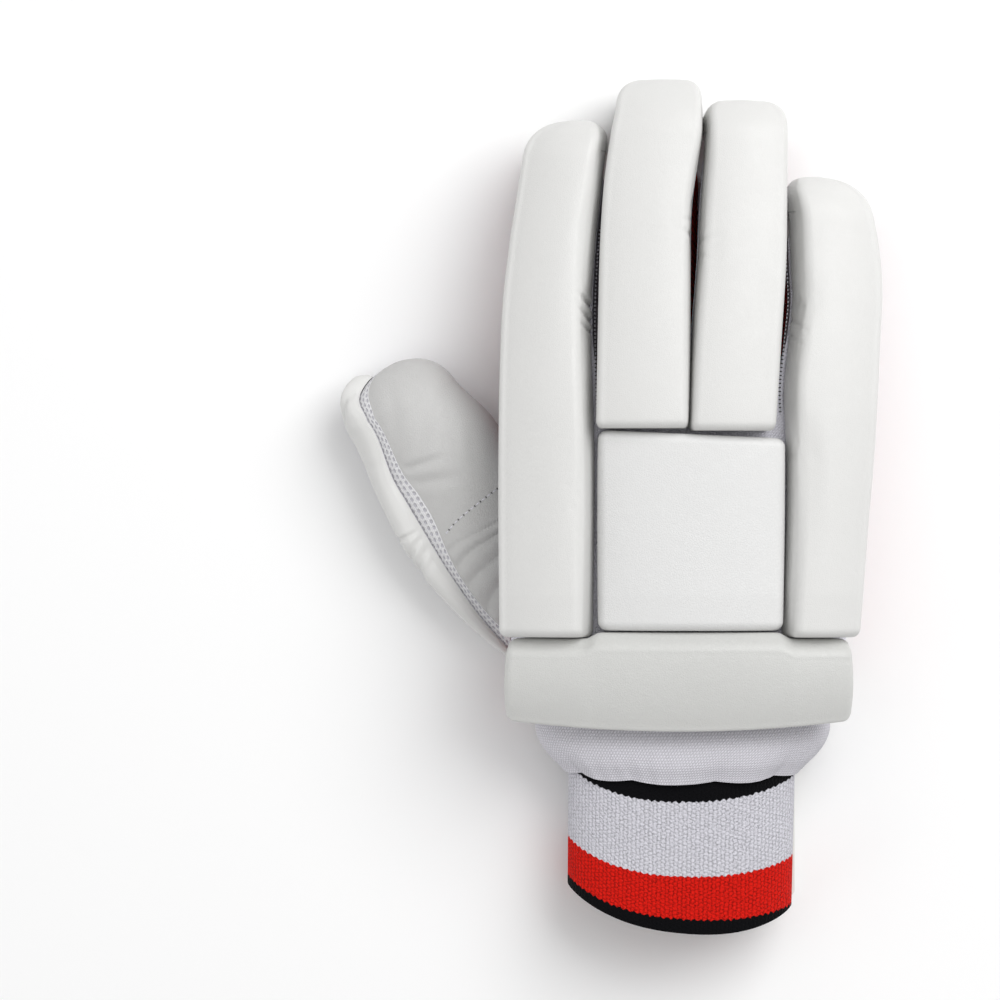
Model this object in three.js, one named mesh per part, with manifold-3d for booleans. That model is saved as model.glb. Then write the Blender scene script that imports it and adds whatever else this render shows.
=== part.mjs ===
// A right-hand batting glove that lies on its palm with its back up, in millimetres, +Z up.
// The fingers point along +Y, the thumb lies to -X and the knitted wristband is at -Y.
// Long padded rolls sit on a back lining. Under them each finger is a hollow stall with a side wall of
// mesh and tape that a rolled binding joins to the leather of the palm.
import * as THREE from "three";
import { mergeVertices } from "three/addons/utils/BufferGeometryUtils.js";
import Module from "manifold-3d";

const wasm = await Module();
wasm.setup();

// Driving sizes of the hand
const handWidth = 130; // over the four finger pads, seen from above
const fingerReach = 145; // from the middle of the palm to the middle fingertip
const backHeight = 42; // of the back lining over the floor, at the knuckles
const backDrop = 13; // fall of the back from the knuckles to the fingertips
const archDrop = 12; // fall of the back from its middle to either side
const cuffDrop = 3; // fall of the back from the knuckles to the wrist
const palmHeight = 9; // of the palm leather over the floor
const thumbBulge = 7; // rise of the palm leather over the root of the thumb
const knuckleLine = 30; // where the fingers start to bend down
const crotchLine = 44; // where the stalls part

// Driving sizes of the pads
const padThickness = 17;
const padCrown = 1.4;
const padEdge = 5; // roundness of a pad's square end
const squareLeft = 32;
const squareRight = 30.8;
const squareTop = 24.2;
const squareBottom = 42.2;
const squareThickness = 12.5;
const squareCorner = 7;
const barTop = 45.2;
const barWidth = 23;
const barLean = 4; // how far the bar's top face lies nearer the wrist than its base
const barBow = 4;
const barThickness = 16;
const barLeft = 58.6;
const barRight = 49.7;
const barCorner = 5;
const padGap = 0.8; // between the long pads and the bar

// Driving sizes of the sheets, strips and cuff
const leather = 1.6;
const lining = 1.5;
const stripWall = 1.2;
const bindingRadius = 1.5;
const seamGap = 0.3; // between two pieces that are sewn to each other
const tapeWidth = 8;
const thumbArch = 19.5; // height of the gusset's edge over the opening for the thumb
const thumbHeight = 29;
const thumbWall = 1.5;
const thumbPadThickness = 8;
const ventRadius = 1.1;
const bandCentre = -2.5;
const bandWidth = 78;
const bandTop = 38;
const bandBottom = 3.6;
const bandStart = 86;
const bandEnd = 135;
const bandWall = 2.5;
const skirtStart = 70.3;
const skirtWall = 1.2;
const strapWall = 2;
const strapTop = 88;
const strapBottom = 142.4;
const strapFreeEnd = 16;
const strapCorner = 12;
const hookWall = 1;
const edgingRadius = 2;

const handHalf = handWidth / 2;
const stallPitch = handWidth / 4.2;
const padBase = -barTop + padGap;
const sheetStep = 12; // of the grids that the two large sheets are bent from
const palmEnd = bandStart - bandWall;

const rad = THREE.MathUtils.degToRad;
const { lerp, clamp, smoothstep } = THREE.MathUtils;

// A table's column, eased between its rows by a cubic that has the slopes of the neighbouring rows.
function read(table, column, at) {
  const c = table.columns.indexOf(column);
  const rows = table.rows;
  const last = rows.length - 1;
  if (at <= rows[0][0]) return rows[0][c];
  if (at >= rows[last][0]) return rows[last][c];
  const i = rows.findIndex((row) => row[0] > at) - 1;
  const slope = (k) => {
    const a = Math.max(k - 1, 0);
    const b = Math.min(k + 1, last);
    return (rows[b][c] - rows[a][c]) / (rows[b][0] - rows[a][0]);
  };
  const span = rows[i + 1][0] - rows[i][0];
  const t = (at - rows[i][0]) / span;
  const rise = rows[i + 1][c] - rows[i][c];
  const start = slope(i) * span;
  const end = slope(i + 1) * span;
  return rows[i][c] + t * start + t * t * (3 * rise - 2 * start - end) + t ** 3 * (start + end - 2 * rise);
}

// What a rounded end takes off at a distance from that end.
function roundOff(distance, radius, power = 2.3) {
  if (distance >= radius) return 0;
  const missing = 1 - Math.max(distance, 0) / radius;
  return radius * (1 - (1 - missing ** power) ** (1 / power));
}

// The sine or cosine of an angle, pushed out towards a square.
const squared = (value, power) => Math.sign(value) * Math.abs(value) ** (2 / power);

// Surfaces of the hand: the back lining's outer face, its slope, and the underside of the palm.
function backZ(x, y) {
  const bend = clamp((y - knuckleLine) / (fingerReach - knuckleLine), 0, 1.2) ** 1.4;
  const cuff = clamp((-y - knuckleLine) / (bandStart - knuckleLine), 0, 1);
  return backHeight - backDrop * bend - cuffDrop * cuff - archDrop * (x / handHalf) ** 2;
}
const backSlope = (x) => (2 * archDrop * x) / handHalf ** 2;

const palmProfile = {
  columns: ["along", "lift"],
  rows: [
    [-1, 0.4],
    [-0.75, 0.72],
    [-0.4, 0.95],
    [0, 1],
    [0.35, 1],
    [0.6, 0.8],
    [0.82, 0.5],
    [1, 0.42],
  ],
};
const bulge = { x: -0.65, y: -0.28, wide: 0.52, long: 0.65 }; // shares of half the hand's width
function palmZ(x, y) {
  const lift = read(palmProfile, "lift", y > 0 ? y / fingerReach : y / bandStart);
  const across = (x / handHalf - bulge.x) / bulge.wide;
  const along = (y / handHalf - bulge.y) / bulge.long;
  return palmHeight * lift + thumbBulge * Math.exp(-across * across - along * along);
}

// Closed meshes.
const point = (x, y, z) => new THREE.Vector3(x, y, z);

function closedMesh(points, faces) {
  let volume = 0;
  for (let i = 0; i < faces.length; i += 3) {
    const cross = points[faces[i + 1]].clone().cross(points[faces[i + 2]]);
    volume += points[faces[i]].dot(cross);
  }
  if (volume < 0) faces.reverse();
  const geometry = new THREE.BufferGeometry();
  geometry.setAttribute("position", new THREE.Float32BufferAttribute(points.flatMap((p) => p.toArray()), 3));
  geometry.setIndex(faces);
  return geometry;
}

// Rings of equal count joined one to the next, with a fan over each end.
function loft(rings) {
  const count = rings[0].length;
  const points = rings.flat();
  const faces = [];
  for (let i = 0; i + 1 < rings.length; i++)
    for (let j = 0; j < count; j++) {
      const a = i * count + j;
      const b = i * count + ((j + 1) % count);
      faces.push(a, b, b + count, a, b + count, a + count);
    }
  const close = (ring, start, turned) => {
    const middle = ring.reduce((sum, p) => sum.add(p), point(0, 0, 0)).divideScalar(count);
    points.push(middle);
    for (let j = 0; j < count; j++) {
      const pair = [start + j, start + ((j + 1) % count)];
      if (turned) pair.reverse();
      faces.push(points.length - 1, ...pair);
    }
  };
  close(rings[0], 0, true);
  close(rings.at(-1), (rings.length - 1) * count, false);
  return closedMesh(points, faces);
}

// The solid between two grids of points. With around set, each row closes on itself.
function wall(outer, inner, around = false) {
  const rows = outer.length;
  const count = outer[0].length;
  const points = [...outer.flat(), ...inner.flat()];
  const faces = [];
  const at = (layer, i, j) => layer * rows * count + i * count + (j % count);
  const quad = (a, b, c, d) => faces.push(a, b, c, a, c, d);
  const steps = around ? count : count - 1;
  for (let i = 0; i + 1 < rows; i++)
    for (let j = 0; j < steps; j++) {
      quad(at(0, i, j), at(0, i + 1, j), at(0, i + 1, j + 1), at(0, i, j + 1));
      quad(at(1, i, j), at(1, i, j + 1), at(1, i + 1, j + 1), at(1, i + 1, j));
    }
  const end = rows - 1;
  for (let j = 0; j < steps; j++) {
    quad(at(0, 0, j), at(0, 0, j + 1), at(1, 0, j + 1), at(1, 0, j));
    quad(at(0, end, j + 1), at(0, end, j), at(1, end, j), at(1, end, j + 1));
  }
  const side = count - 1;
  if (!around)
    for (let i = 0; i < end; i++) {
      quad(at(0, i + 1, 0), at(0, i, 0), at(1, i, 0), at(1, i + 1, 0));
      quad(at(0, i, side), at(0, i + 1, side), at(1, i + 1, side), at(1, i, side));
    }
  return closedMesh(points, faces);
}

// A shell on a surface of two parameters: its faces lie at two distances along the surface's normal.
function shell(surface, rows, columns, outside, inside) {
  const step = 0.002;
  const offset = (u, v, distance) => {
    const along = surface(Math.min(u + step, 1), v).sub(surface(Math.max(u - step, 0), v));
    const across = surface(u, Math.min(v + step, 1)).sub(surface(u, Math.max(v - step, 0)));
    return surface(u, v).addScaledVector(along.cross(across).normalize(), distance(u, v));
  };
  const face = (distance) => rows.map((u) => columns.map((v) => offset(u, v, distance)));
  return wall(face(outside), face(inside));
}

const evenly = (count) => Array.from({ length: count + 1 }, (_, k) => k / count);

// Solids for joins and cuts.
function toSolid(geometry) {
  const bare = geometry.clone();
  bare.deleteAttribute("normal");
  bare.deleteAttribute("uv");
  const merged = mergeVertices(bare, 1e-3);
  return new wasm.Manifold(
    new wasm.Mesh({
      numProp: 3,
      vertProperties: new Float32Array(merged.attributes.position.array),
      triVerts: new Uint32Array(merged.index.array),
    }),
  );
}
function toGeometry(solid) {
  const mesh = solid.getMesh();
  const geometry = new THREE.BufferGeometry();
  geometry.setAttribute("position", new THREE.BufferAttribute(new Float32Array(mesh.vertProperties), 3));
  geometry.setIndex(new THREE.BufferAttribute(new Uint32Array(mesh.triVerts), 1));
  return geometry;
}

// A sheet between two height functions, cut to an outline seen from above.
function cutSheet(lower, upper, outline, holes = []) {
  const xs = outline.map((p) => p.x);
  const ys = outline.map((p) => p.y);
  const spread = (values) => {
    const low = Math.min(...values) - 1;
    const high = Math.max(...values) + 1;
    const count = Math.ceil((high - low) / sheetStep);
    return evenly(count).map((t) => lerp(low, high, t));
  };
  const grid = (height) => spread(ys).map((y) => spread(xs).map((x) => point(x, y, height(x, y))));
  const sheet = toSolid(wall(grid(upper), grid(lower)));
  const shape = new THREE.Shape(outline);
  const depth = 2 * backHeight;
  const cutter = toSolid(new THREE.ExtrudeGeometry(shape, { depth, bevelEnabled: false }));
  let solid = sheet.intersect(cutter);
  for (const hole of holes) {
    const drill = new THREE.CylinderGeometry(hole.radius, hole.radius, depth, 8);
    drill.rotateX(Math.PI / 2).translate(hole.x, hole.y, 0);
    solid = solid.subtract(toSolid(drill));
  }
  return toGeometry(solid);
}

// The fingers. Outlines are what shows from above: along runs from the pad's base to its tip, the centre
// is a share of half the hand's width and the width a share of the pitch of the stalls.
const outline = (rows) => ({ columns: ["along", "centre", "width"], rows });
const fingers = [
  {
    name: "index",
    padBase,
    tip: 0.9007 * fingerReach,
    cap: 12,
    band: 7.5,
    corners: [13, 9],
    palmCentre: -0.617,
    palmHalf: 0.465,
    longSide: -1,
    inward: 8,
    outline: outline([
      [0, -0.769, 0.97],
      [0.34, -0.768, 1.0],
      [0.62, -0.758, 0.985],
      [0.77, -0.725, 0.955],
      [0.87, -0.688, 0.935],
      [1, -0.64, 0.92],
    ]),
  },
  {
    name: "middle",
    padBase: squareTop + 1.4,
    tip: fingerReach,
    cap: 17,
    band: 7,
    corners: [8, 9],
    palmCentre: -0.151,
    palmHalf: 0.394,
    longSide: 0,
    inward: 0,
    outline: outline([
      [0, -0.2525, 1.003],
      [0.472, -0.2385, 1.012],
      [0.617, -0.23, 1.01],
      [0.725, -0.209, 1.01],
      [0.837, -0.1815, 0.995],
      [0.91, -0.172, 0.965],
      [1, -0.17, 0.95],
    ]),
  },
  {
    name: "ring",
    padBase: squareTop + 0.8,
    tip: 0.947 * fingerReach,
    cap: 12.5,
    band: 9.5,
    corners: [7, 9],
    palmCentre: 0.277,
    palmHalf: 0.362,
    longSide: 0,
    inward: 0,
    outline: outline([
      [0, 0.222, 0.927],
      [0.277, 0.243, 0.954],
      [0.507, 0.267, 0.965],
      [0.662, 0.276, 0.95],
      [0.816, 0.283, 0.915],
      [1, 0.287, 0.9],
    ]),
  },
  {
    name: "little",
    padBase,
    tip: 0.768 * fingerReach,
    cap: 13.5,
    band: 4,
    corners: [8, 12],
    palmCentre: 0.683,
    palmHalf: 0.381,
    longSide: 1,
    inward: 5.5,
    outline: outline([
      [0, 0.68, 0.834],
      [0.192, 0.701, 0.85],
      [0.383, 0.718, 0.973],
      [0.533, 0.717, 1.035],
      [0.645, 0.737, 1.007],
      [0.728, 0.753, 0.99],
      [0.811, 0.746, 0.993],
      [0.911, 0.724, 0.932],
      [1, 0.685, 0.86],
    ]),
  },
];
for (const finger of fingers) {
  finger.palmTip = finger.tip - finger.cap - finger.band;
  finger.noseStart = finger.palmTip + finger.band + stripWall / 2 + 2 * seamGap;
}

// A pad's base at one place along it: the part of its seen width that its lean adds is taken off.
function padFrame(finger, y) {
  const along = (y - finger.padBase) / (finger.tip - finger.padBase);
  const seenCentre = handHalf * read(finger.outline, "centre", along);
  const seenWidth = stallPitch * read(finger.outline, "width", along);
  const lean = Math.atan(backSlope(seenCentre));
  const overhang = padThickness * Math.sin(lean);
  return { centre: seenCentre - overhang / 2, half: (seenWidth - Math.abs(overhang)) / 2, lean };
}

const sectionPoints = 16;
const sectionPower = 5;
const sectionRing = evenly(sectionPoints)
  .slice(1)
  .map((t) => {
    const angle = 2 * Math.PI * t;
    return { across: squared(Math.cos(angle), sectionPower), up: squared(Math.sin(angle), sectionPower) };
  });

// One ring of a pad, leaning with the arch of the back. The cut takes the roundness of an end off.
function padRing(frame, y, thickness, cut, floor) {
  return sectionRing.map(({ across, up }) => {
    const a = across * (frame.half - (across < 0 ? cut.left : cut.right));
    const base = backZ(frame.centre, y) - a * Math.tan(frame.lean);
    const low = floor === undefined ? base : floor;
    const high = base + thickness + padCrown * (1 - across * across) - cut.top;
    const z = lerp(low + cut.bottom, high, (up + 1) / 2);
    return point(frame.centre + a + Math.max(z - base, 0) * Math.tan(frame.lean), y, z);
  });
}

const endSteps = [0.02, 0.12, 0.3, 0.6, 1];

// A finger's pad: a long roll whose tip turns down into a cap that reaches the floor.
function fingerPad(finger) {
  const rings = [];
  const plain = { left: 0, right: 0, top: 0, bottom: 0 };
  for (const t of endSteps) {
    const off = roundOff(t * padEdge, padEdge, 2);
    const y = finger.padBase + t * padEdge;
    rings.push(padRing(padFrame(finger, y), y, padThickness, { left: off / 2, right: off / 2, top: off, bottom: off / 2 }));
  }
  const first = finger.padBase + padEdge;
  const middleSteps = Math.ceil((finger.noseStart - first) / 20);
  for (const t of evenly(middleSteps).slice(1)) {
    const y = lerp(first, finger.noseStart, t);
    rings.push(padRing(padFrame(finger, y), y, padThickness, plain));
  }
  const reach = finger.tip - finger.noseStart;
  const tipTop = 1.35 * reach;
  for (const t of [1, 0.85, 0.65, 0.45, 0.28, 0.14, 0.05, 0.01]) {
    const distance = t * (reach - seamGap);
    const y = finger.tip - distance;
    const cut = {
      left: roundOff(distance, finger.corners[0]),
      right: roundOff(distance, finger.corners[1]),
      top: roundOff(distance, tipTop),
      bottom: roundOff(distance, 0.9 * reach),
    };
    rings.push(padRing(padFrame(finger, y), y, padThickness, cut, 0));
  }
  return loft(rings);
}

// The square pad over the back of the hand.
function backPad() {
  const rings = [];
  const middle = (squareRight - squareLeft) / 2;
  const half = (squareRight + squareLeft) / 2;
  const length = squareTop + squareBottom;
  const ring = (distance, y) => {
    const corner = roundOff(distance, squareCorner, 2);
    const edge = roundOff(distance, padEdge, 2);
    const cut = { left: corner, right: corner, top: edge, bottom: edge / 3 };
    const frame = { centre: middle, half, lean: 0 };
    return padRing(frame, y, squareThickness, cut).map((p) => {
      const arch = archDrop * ((middle / handHalf) ** 2 - (clamp(p.x, -half, half) / handHalf) ** 2);
      return point(p.x, p.y, p.z + arch);
    });
  };
  for (const t of endSteps) rings.push(ring(t * squareCorner, -squareBottom + t * squareCorner));
  for (const t of [0.3, 0.5, 0.7]) rings.push(ring(squareCorner, -squareBottom + t * length));
  for (const t of [...endSteps].reverse()) rings.push(ring(t * squareCorner, squareTop - t * squareCorner));
  return loft(rings);
}

// The bar across the cuff, lofted from side to side.
function cuffBar() {
  const length = barLeft + barRight;
  const ring = (x) => {
    const distance = Math.min(x + barLeft, barRight - x);
    const off = roundOff(distance, barCorner, 2);
    const sideways = (x - (barRight - barLeft) / 2) / (length / 2);
    const low = -barTop - barWidth - barBow * (1 - sideways * sideways);
    const middle = (low - barTop) / 2;
    const half = (-barTop - low) / 2 - off;
    const tilt = Math.tan(Math.atan(backSlope(x)));
    return sectionRing.map(({ across, up }) => {
      const thickness = barThickness + padCrown * (1 - across * across) - off;
      const h = lerp(off / 2, thickness, (up + 1) / 2);
      const y = middle + across * half;
      return point(x + h * tilt, y - (barLean * h) / barThickness, backZ(x, y) + h);
    });
  };
  const ends = endSteps.map((t) => -barLeft + t * barCorner);
  const span = length - 2 * barCorner;
  const inner = evenly(6).slice(1, -1).map((t) => -barLeft + barCorner + t * span);
  const far = [...endSteps].reverse().map((t) => barRight - t * barCorner);
  return loft([...ends, ...inner, ...far].map(ring));
}

// The path of a stall's wall: up one side, round the fingertip and down the other. Each station has a
// lower point at the palm's edge and an upper point under the edge of the pad.
const legSteps = 5;
const longSteps = 11;
const arcSteps = 8;
const longEnd = -skirtStart + 1;
const slitStart = -53; // where the slit beside the heel of the hand begins

function stallLine(finger, level, y) {
  const frame = padFrame(finger, Math.max(y, finger.padBase));
  const upper = { centre: frame.centre, half: frame.half - stripWall };
  const reference = padFrame(finger, finger.palmTip * 0.7);
  const follow = y > finger.palmTip * 0.7 ? 0.25 : 1;
  const shift = follow * (frame.centre - reference.centre);
  const lower = { centre: finger.palmCentre * handHalf + shift, half: finger.palmHalf * stallPitch };
  return { centre: lerp(lower.centre, upper.centre, level), half: lerp(lower.half, upper.half, level) };
}
function stallEdge(finger, level, side, y, clear) {
  const line = stallLine(finger, level, y);
  const x = line.centre + side * line.half;
  if (side === finger.longSide) {
    const past = clamp((finger.padBase - y) / (finger.padBase - longEnd), 0, 1);
    return x - side * finger.inward * past * past;
  }
  const neighbour = fingers[fingers.indexOf(finger) + side];
  const other = stallLine(neighbour, level, y);
  const crotch = (x + other.centre - side * other.half) / 2 - side * clear;
  return lerp(crotch, x, smoothstep(y, crotchLine, crotchLine + 14));
}
function stallPath(finger, level, clear, ends) {
  const tip = finger.palmTip + level * finger.band;
  const start = tip - stallLine(finger, level, finger.palmTip).half;
  const path = [];
  const leg = (side) => {
    const end = ends[side < 0 ? 0 : 1];
    const steps = end < crotchLine - 1 ? longSteps : legSteps;
    return evenly(steps).map((t) => {
      const y = lerp(end, start, t);
      return { x: stallEdge(finger, level, side, y, clear), y, turn: 0 };
    });
  };
  path.push(...leg(-1));
  const left = stallEdge(finger, level, -1, start, clear);
  const right = stallEdge(finger, level, 1, start, clear);
  const drift = stallLine(finger, level, tip).centre - stallLine(finger, level, start).centre;
  for (const t of evenly(arcSteps).slice(1, -1)) {
    const angle = Math.PI * (1 - t);
    const rise = Math.sin(angle) ** (2 / 2.4);
    const x = lerp(left, right, (1 + squared(Math.cos(angle), 2.4)) / 2) + drift * rise;
    path.push({ x, y: start + (tip - start) * rise, turn: rise });
  }
  path.push(...leg(1).reverse());
  return path;
}
function sideways(path, k) {
  const a = path[Math.max(k - 1, 0)];
  const b = path[Math.min(k + 1, path.length - 1)];
  const length = Math.hypot(b.x - a.x, b.y - a.y);
  return { x: -(b.y - a.y) / length, y: (b.x - a.x) / length }; // points away from the stall
}
const pushed = (path, distance) =>
  path.map((p, k) => {
    const n = sideways(path, k);
    return new THREE.Vector2(p.x + n.x * distance, p.y + n.y * distance);
  });

const wallEnds = (finger, rightEnd = longEnd) => [
  finger.longSide < 0 ? longEnd : crotchLine,
  finger.longSide > 0 ? rightEnd : crotchLine,
];
const footZ = (p) => palmZ(p.x, p.y) + 2 * bindingRadius;
const headZ = (p) => backZ(p.x, p.y) - lining - 2 * seamGap;

// A strip of a stall's wall between two levels, worked out at each station.
function stallStrip(finger, from, to, ends) {
  const clear = stripWall / 2 + seamGap / 2;
  const foot = stallPath(finger, 0, clear, ends);
  const head = stallPath(finger, 1, clear, ends);
  const station = (k, level) => {
    const x = lerp(foot[k].x, head[k].x, level);
    const y = lerp(foot[k].y, head[k].y, level);
    const z = lerp(footZ(foot[k]), headZ(head[k]), level);
    return point(x, y, z);
  };
  const rings = foot.map((p, k) => {
    const range = { low: footZ(p), high: headZ(head[k]), turn: p.turn, x: p.x, y: p.y };
    const levels = [from(range), to(range)];
    const [low, high] = levels.map((level) => station(k, level));
    const along = (level) => {
      const a = station(Math.max(k - 1, 0), level);
      const b = station(Math.min(k + 1, foot.length - 1), level);
      return point(-(b.y - a.y), b.x - a.x, 0).normalize().multiplyScalar(stripWall / 2);
    };
    const [lowSide, highSide] = levels.map(along);
    return [
      low.clone().add(lowSide),
      high.clone().add(highSide),
      high.clone().sub(highSide),
      low.clone().sub(lowSide),
    ];
  });
  return loft(rings);
}

const tipSplit = 0.52;
function splitLevel({ low, high, turn }) {
  return lerp(1 - tapeWidth / (high - low), tipSplit, turn);
}
// The edge of the gusset rises over the opening for the thumb.
const thumbGate = { middle: -14, half: 38 };
function gateLevel(range) {
  if (range.x > -0.6 * handHalf) return 0;
  const off = (range.y - thumbGate.middle) / thumbGate.half;
  const open = Math.sqrt(Math.max(1 - off * off, 0));
  return (open * (thumbArch - range.low)) / (range.high - range.low);
}
function gusset(finger) {
  const top = (range) => splitLevel(range) - seamGap / (range.high - range.low);
  return stallStrip(finger, gateLevel, top, wallEnds(finger, slitStart));
}
const tape = (finger) => stallStrip(finger, splitLevel, () => 1, wallEnds(finger));

// The rolled binding along the palm's edge of a stall.
const bindingSides = 6;
const gateEnd = thumbGate.middle + thumbGate.half + 3;
const bindingEnds = (finger) => wallEnds(finger, slitStart).map((end) => (end === longEnd ? gateEnd : end));
function binding(finger) {
  const clear = bindingRadius + seamGap;
  const ends = bindingEnds(finger);
  const path = stallPath(finger, 0, clear, ends);
  return loft(
    path.map((p, k) => {
      const n = sideways(path, k);
      return evenly(bindingSides)
        .slice(1)
        .map((t) => {
          const angle = 2 * Math.PI * t;
          const out = bindingRadius * Math.cos(angle);
          const z = palmZ(p.x, p.y) + bindingRadius - seamGap + bindingRadius * Math.sin(angle);
          return point(p.x + n.x * out, p.y + n.y * out, z);
        });
    }),
  );
}

// The outline of the bay that the thumb comes out of, as shares of half the hand's width.
const bay = [
  [-0.8, -0.86],
  [-0.66, -0.9],
  [-0.55, -0.93],
  [-0.375, -0.885],
  [-0.243, -0.774],
  [-0.165, -0.614],
  [-0.13, -0.44],
  [-0.13, -0.326],
  [-0.157, -0.143],
  [-0.206, 0.055],
  [-0.266, 0.198],
  [-0.354, 0.289],
  [-0.469, 0.355],
  [-0.655, 0.168],
  [-0.815, 0.005],
].map(([x, y]) => new THREE.Vector2(x * handHalf, y * handHalf));

const vents = [
  { x: 8.1, y: -5.7, radius: ventRadius },
  { x: 18.1, y: -14.3, radius: ventRadius },
];

// The leather of the palm with its four tongues, cut open at the bay.
function palmLeather() {
  const edge = bindingRadius + seamGap;
  const clear = bindingRadius + seamGap;
  const outlinePoints = [...bay];
  fingers.forEach((finger, k) => {
    const path = pushed(stallPath(finger, 0, clear, bindingEnds(finger)), -edge);
    if (k > 0) {
      const dip = crotchLine - edge;
      const last = outlinePoints.at(-1);
      outlinePoints.push(new THREE.Vector2(last.x, dip), new THREE.Vector2(path[0].x, dip));
    }
    outlinePoints.push(...path);
  });
  const bandHalf = bandWidth / 2;
  outlinePoints.push(
    new THREE.Vector2(bandCentre + 1.14 * bandHalf, -skirtStart - 7),
    new THREE.Vector2(bandCentre + 0.98 * bandHalf, -palmEnd),
    new THREE.Vector2(bandCentre - 0.98 * bandHalf, -palmEnd),
    new THREE.Vector2(bandCentre - 1.14 * bandHalf, -skirtStart - 4),
    new THREE.Vector2(bandCentre - 1.27 * bandHalf, -skirtStart + 8),
  );
  return cutSheet(palmZ, (x, y) => palmZ(x, y) + leather, outlinePoints, vents);
}

// The lining of the back, which closes the stalls from above.
function backPanel() {
  const clear = stripWall / 2 + seamGap / 2;
  const outlinePoints = [];
  fingers.forEach((finger, k) => {
    const path = pushed(stallPath(finger, 1, clear, wallEnds(finger)), stripWall / 2 - 0.1);
    if (k > 0) {
      const dip = crotchLine - 1;
      const last = outlinePoints.at(-1);
      outlinePoints.push(new THREE.Vector2(last.x, dip), new THREE.Vector2(path[0].x, dip));
    }
    outlinePoints.push(...path);
  });
  const lower = (x, y) => backZ(x, y) - lining - seamGap;
  return cutSheet(lower, (x, y) => backZ(x, y) - seamGap, outlinePoints);
}

// The thumb. Each row is a section on the line from an outer to an inner point, as shares of half the
// hand's width. Heights are shares of the thumb's height, and free says how far a side has left the palm.
const thumbRows = {
  columns: ["along", "outX", "outY", "inX", "inY", "bottom", "top", "outFree", "inFree"],
  rows: [
    [0, -0.108, -0.708, -0.085, -0.154, 0.27, 0.5, 0, 0],
    [0.08, -0.246, -0.862, -0.154, 0.092, 0.19, 0.5, 0, 0],
    [0.18, -0.415, -0.946, -0.231, 0.262, 0.09, 0.5, 0, 0],
    [0.28, -0.615, -0.946, -0.354, 0.346, 0.03, 0.52, 0, 0],
    [0.36, -0.846, -0.854, -0.492, 0.385, 0.012, 0.57, 0, 0],
    [0.44, -1.069, -0.662, -0.646, 0.277, 0.005, 0.68, 0.5, 0],
    [0.52, -1.254, -0.415, -0.785, 0.292, 0, 0.8, 1, 0.3],
    [0.6, -1.422, -0.166, -0.917, 0.305, 0, 0.9, 1, 0.75],
    [0.75, -1.594, 0.095, -1.06, 0.49, 0, 1, 1, 1],
    [0.9, -1.775, 0.405, -1.231, 0.63, 0.01, 0.965, 1, 1],
  ],
};
const thumbSeams = {
  columns: ["along", "hand", "leather", "trim", "web"],
  rows: [
    [0, 118, 150, 170, -65],
    [0.36, 118, 150, 170, -45],
    [0.44, 113, 150, 162, -40],
    [0.52, 72, 148, 160, -36],
    [0.6, 28, 133, 153, -33],
    [0.68, -28, 130, 149, -31],
    [0.75, -29, 129, 147, -29],
    [0.9, -24, 121, 135, -25],
    [1, -20, 118, 132, -21],
  ],
};
const thumbSide = 0.48; // height of the thumb's widest line, as a share of its height
const seamDrop = 2; // how far the thumb's root lies under the palm leather
const domeStart = 0.9;
const domeReach = { x: -1.554, y: 0.765 };
const domeTurn = 88;

function thumbPoint(along, angle) {
  const s = Math.min(along, domeStart);
  const row = (column) => read(thumbRows, column, s);
  const dome = rad((domeTurn * Math.max(along - domeStart, 0)) / (1 - domeStart));
  const out = { x: row("outX") * handHalf, y: row("outY") * handHalf };
  const inn = { x: row("inX") * handHalf, y: row("inY") * handHalf };
  const centre = { x: (out.x + inn.x) / 2, y: (out.y + inn.y) / 2 };
  const sideHeight = thumbSide * thumbHeight;
  const outZ = lerp(palmZ(out.x, out.y) - seamDrop, sideHeight, row("outFree"));
  const inZ = lerp(palmZ(inn.x, inn.y) - seamDrop, sideHeight, row("inFree"));
  const c = Math.cos(angle);
  const up = Math.sin(angle);
  const side = lerp(outZ, inZ, (1 + c) / 2);
  const reach = (up > 0 ? row("top") : row("bottom")) * thumbHeight - side;
  const shrink = Math.cos(dome);
  const rise = Math.sin(dome);
  const x = centre.x + ((inn.x - out.x) / 2) * c * shrink + (domeReach.x * handHalf - centre.x) * rise;
  const y = centre.y + ((inn.y - out.y) / 2) * c * shrink + (domeReach.y * handHalf - centre.y) * rise;
  return point(x, y, side + reach * Math.abs(up) * shrink);
}

// A piece of the thumb between two seams, from one place along the thumb to another.
function thumbPiece(start, end, rows, from, to, columns, outside, inside) {
  const surface = (u, v) => {
    const s = lerp(start, end, u);
    return thumbPoint(s, rad(lerp(from(s), to(s), v)));
  };
  const constant = (value) => (typeof value === "function" ? value : () => value);
  return shell(surface, rows, evenly(columns), constant(outside), constant(inside));
}
const seam = (column) => (s) => read(thumbSeams, column, s);
const beside = (column, by) => (s) => read(thumbSeams, column, s) + by;
// The rows that every piece of the thumb shares, so that neighbours bend alike.
const thumbSteps = [
  ...[0, 0.06, 0.12, 0.18, 0.24, 0.3, 0.36, 0.44, 0.48, 0.52, 0.56, 0.6],
  ...[0.64, 0.68, 0.75, 0.82, 0.9, 0.925, 0.95, 0.975, 1],
];
const rowsOf = (start, end) => {
  const inside = thumbSteps.filter((s) => s >= start && s <= end);
  return inside.map((s) => (s - start) / (end - start));
};
const thumbStart = 0.44;
const padEnd = 0.95;

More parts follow.
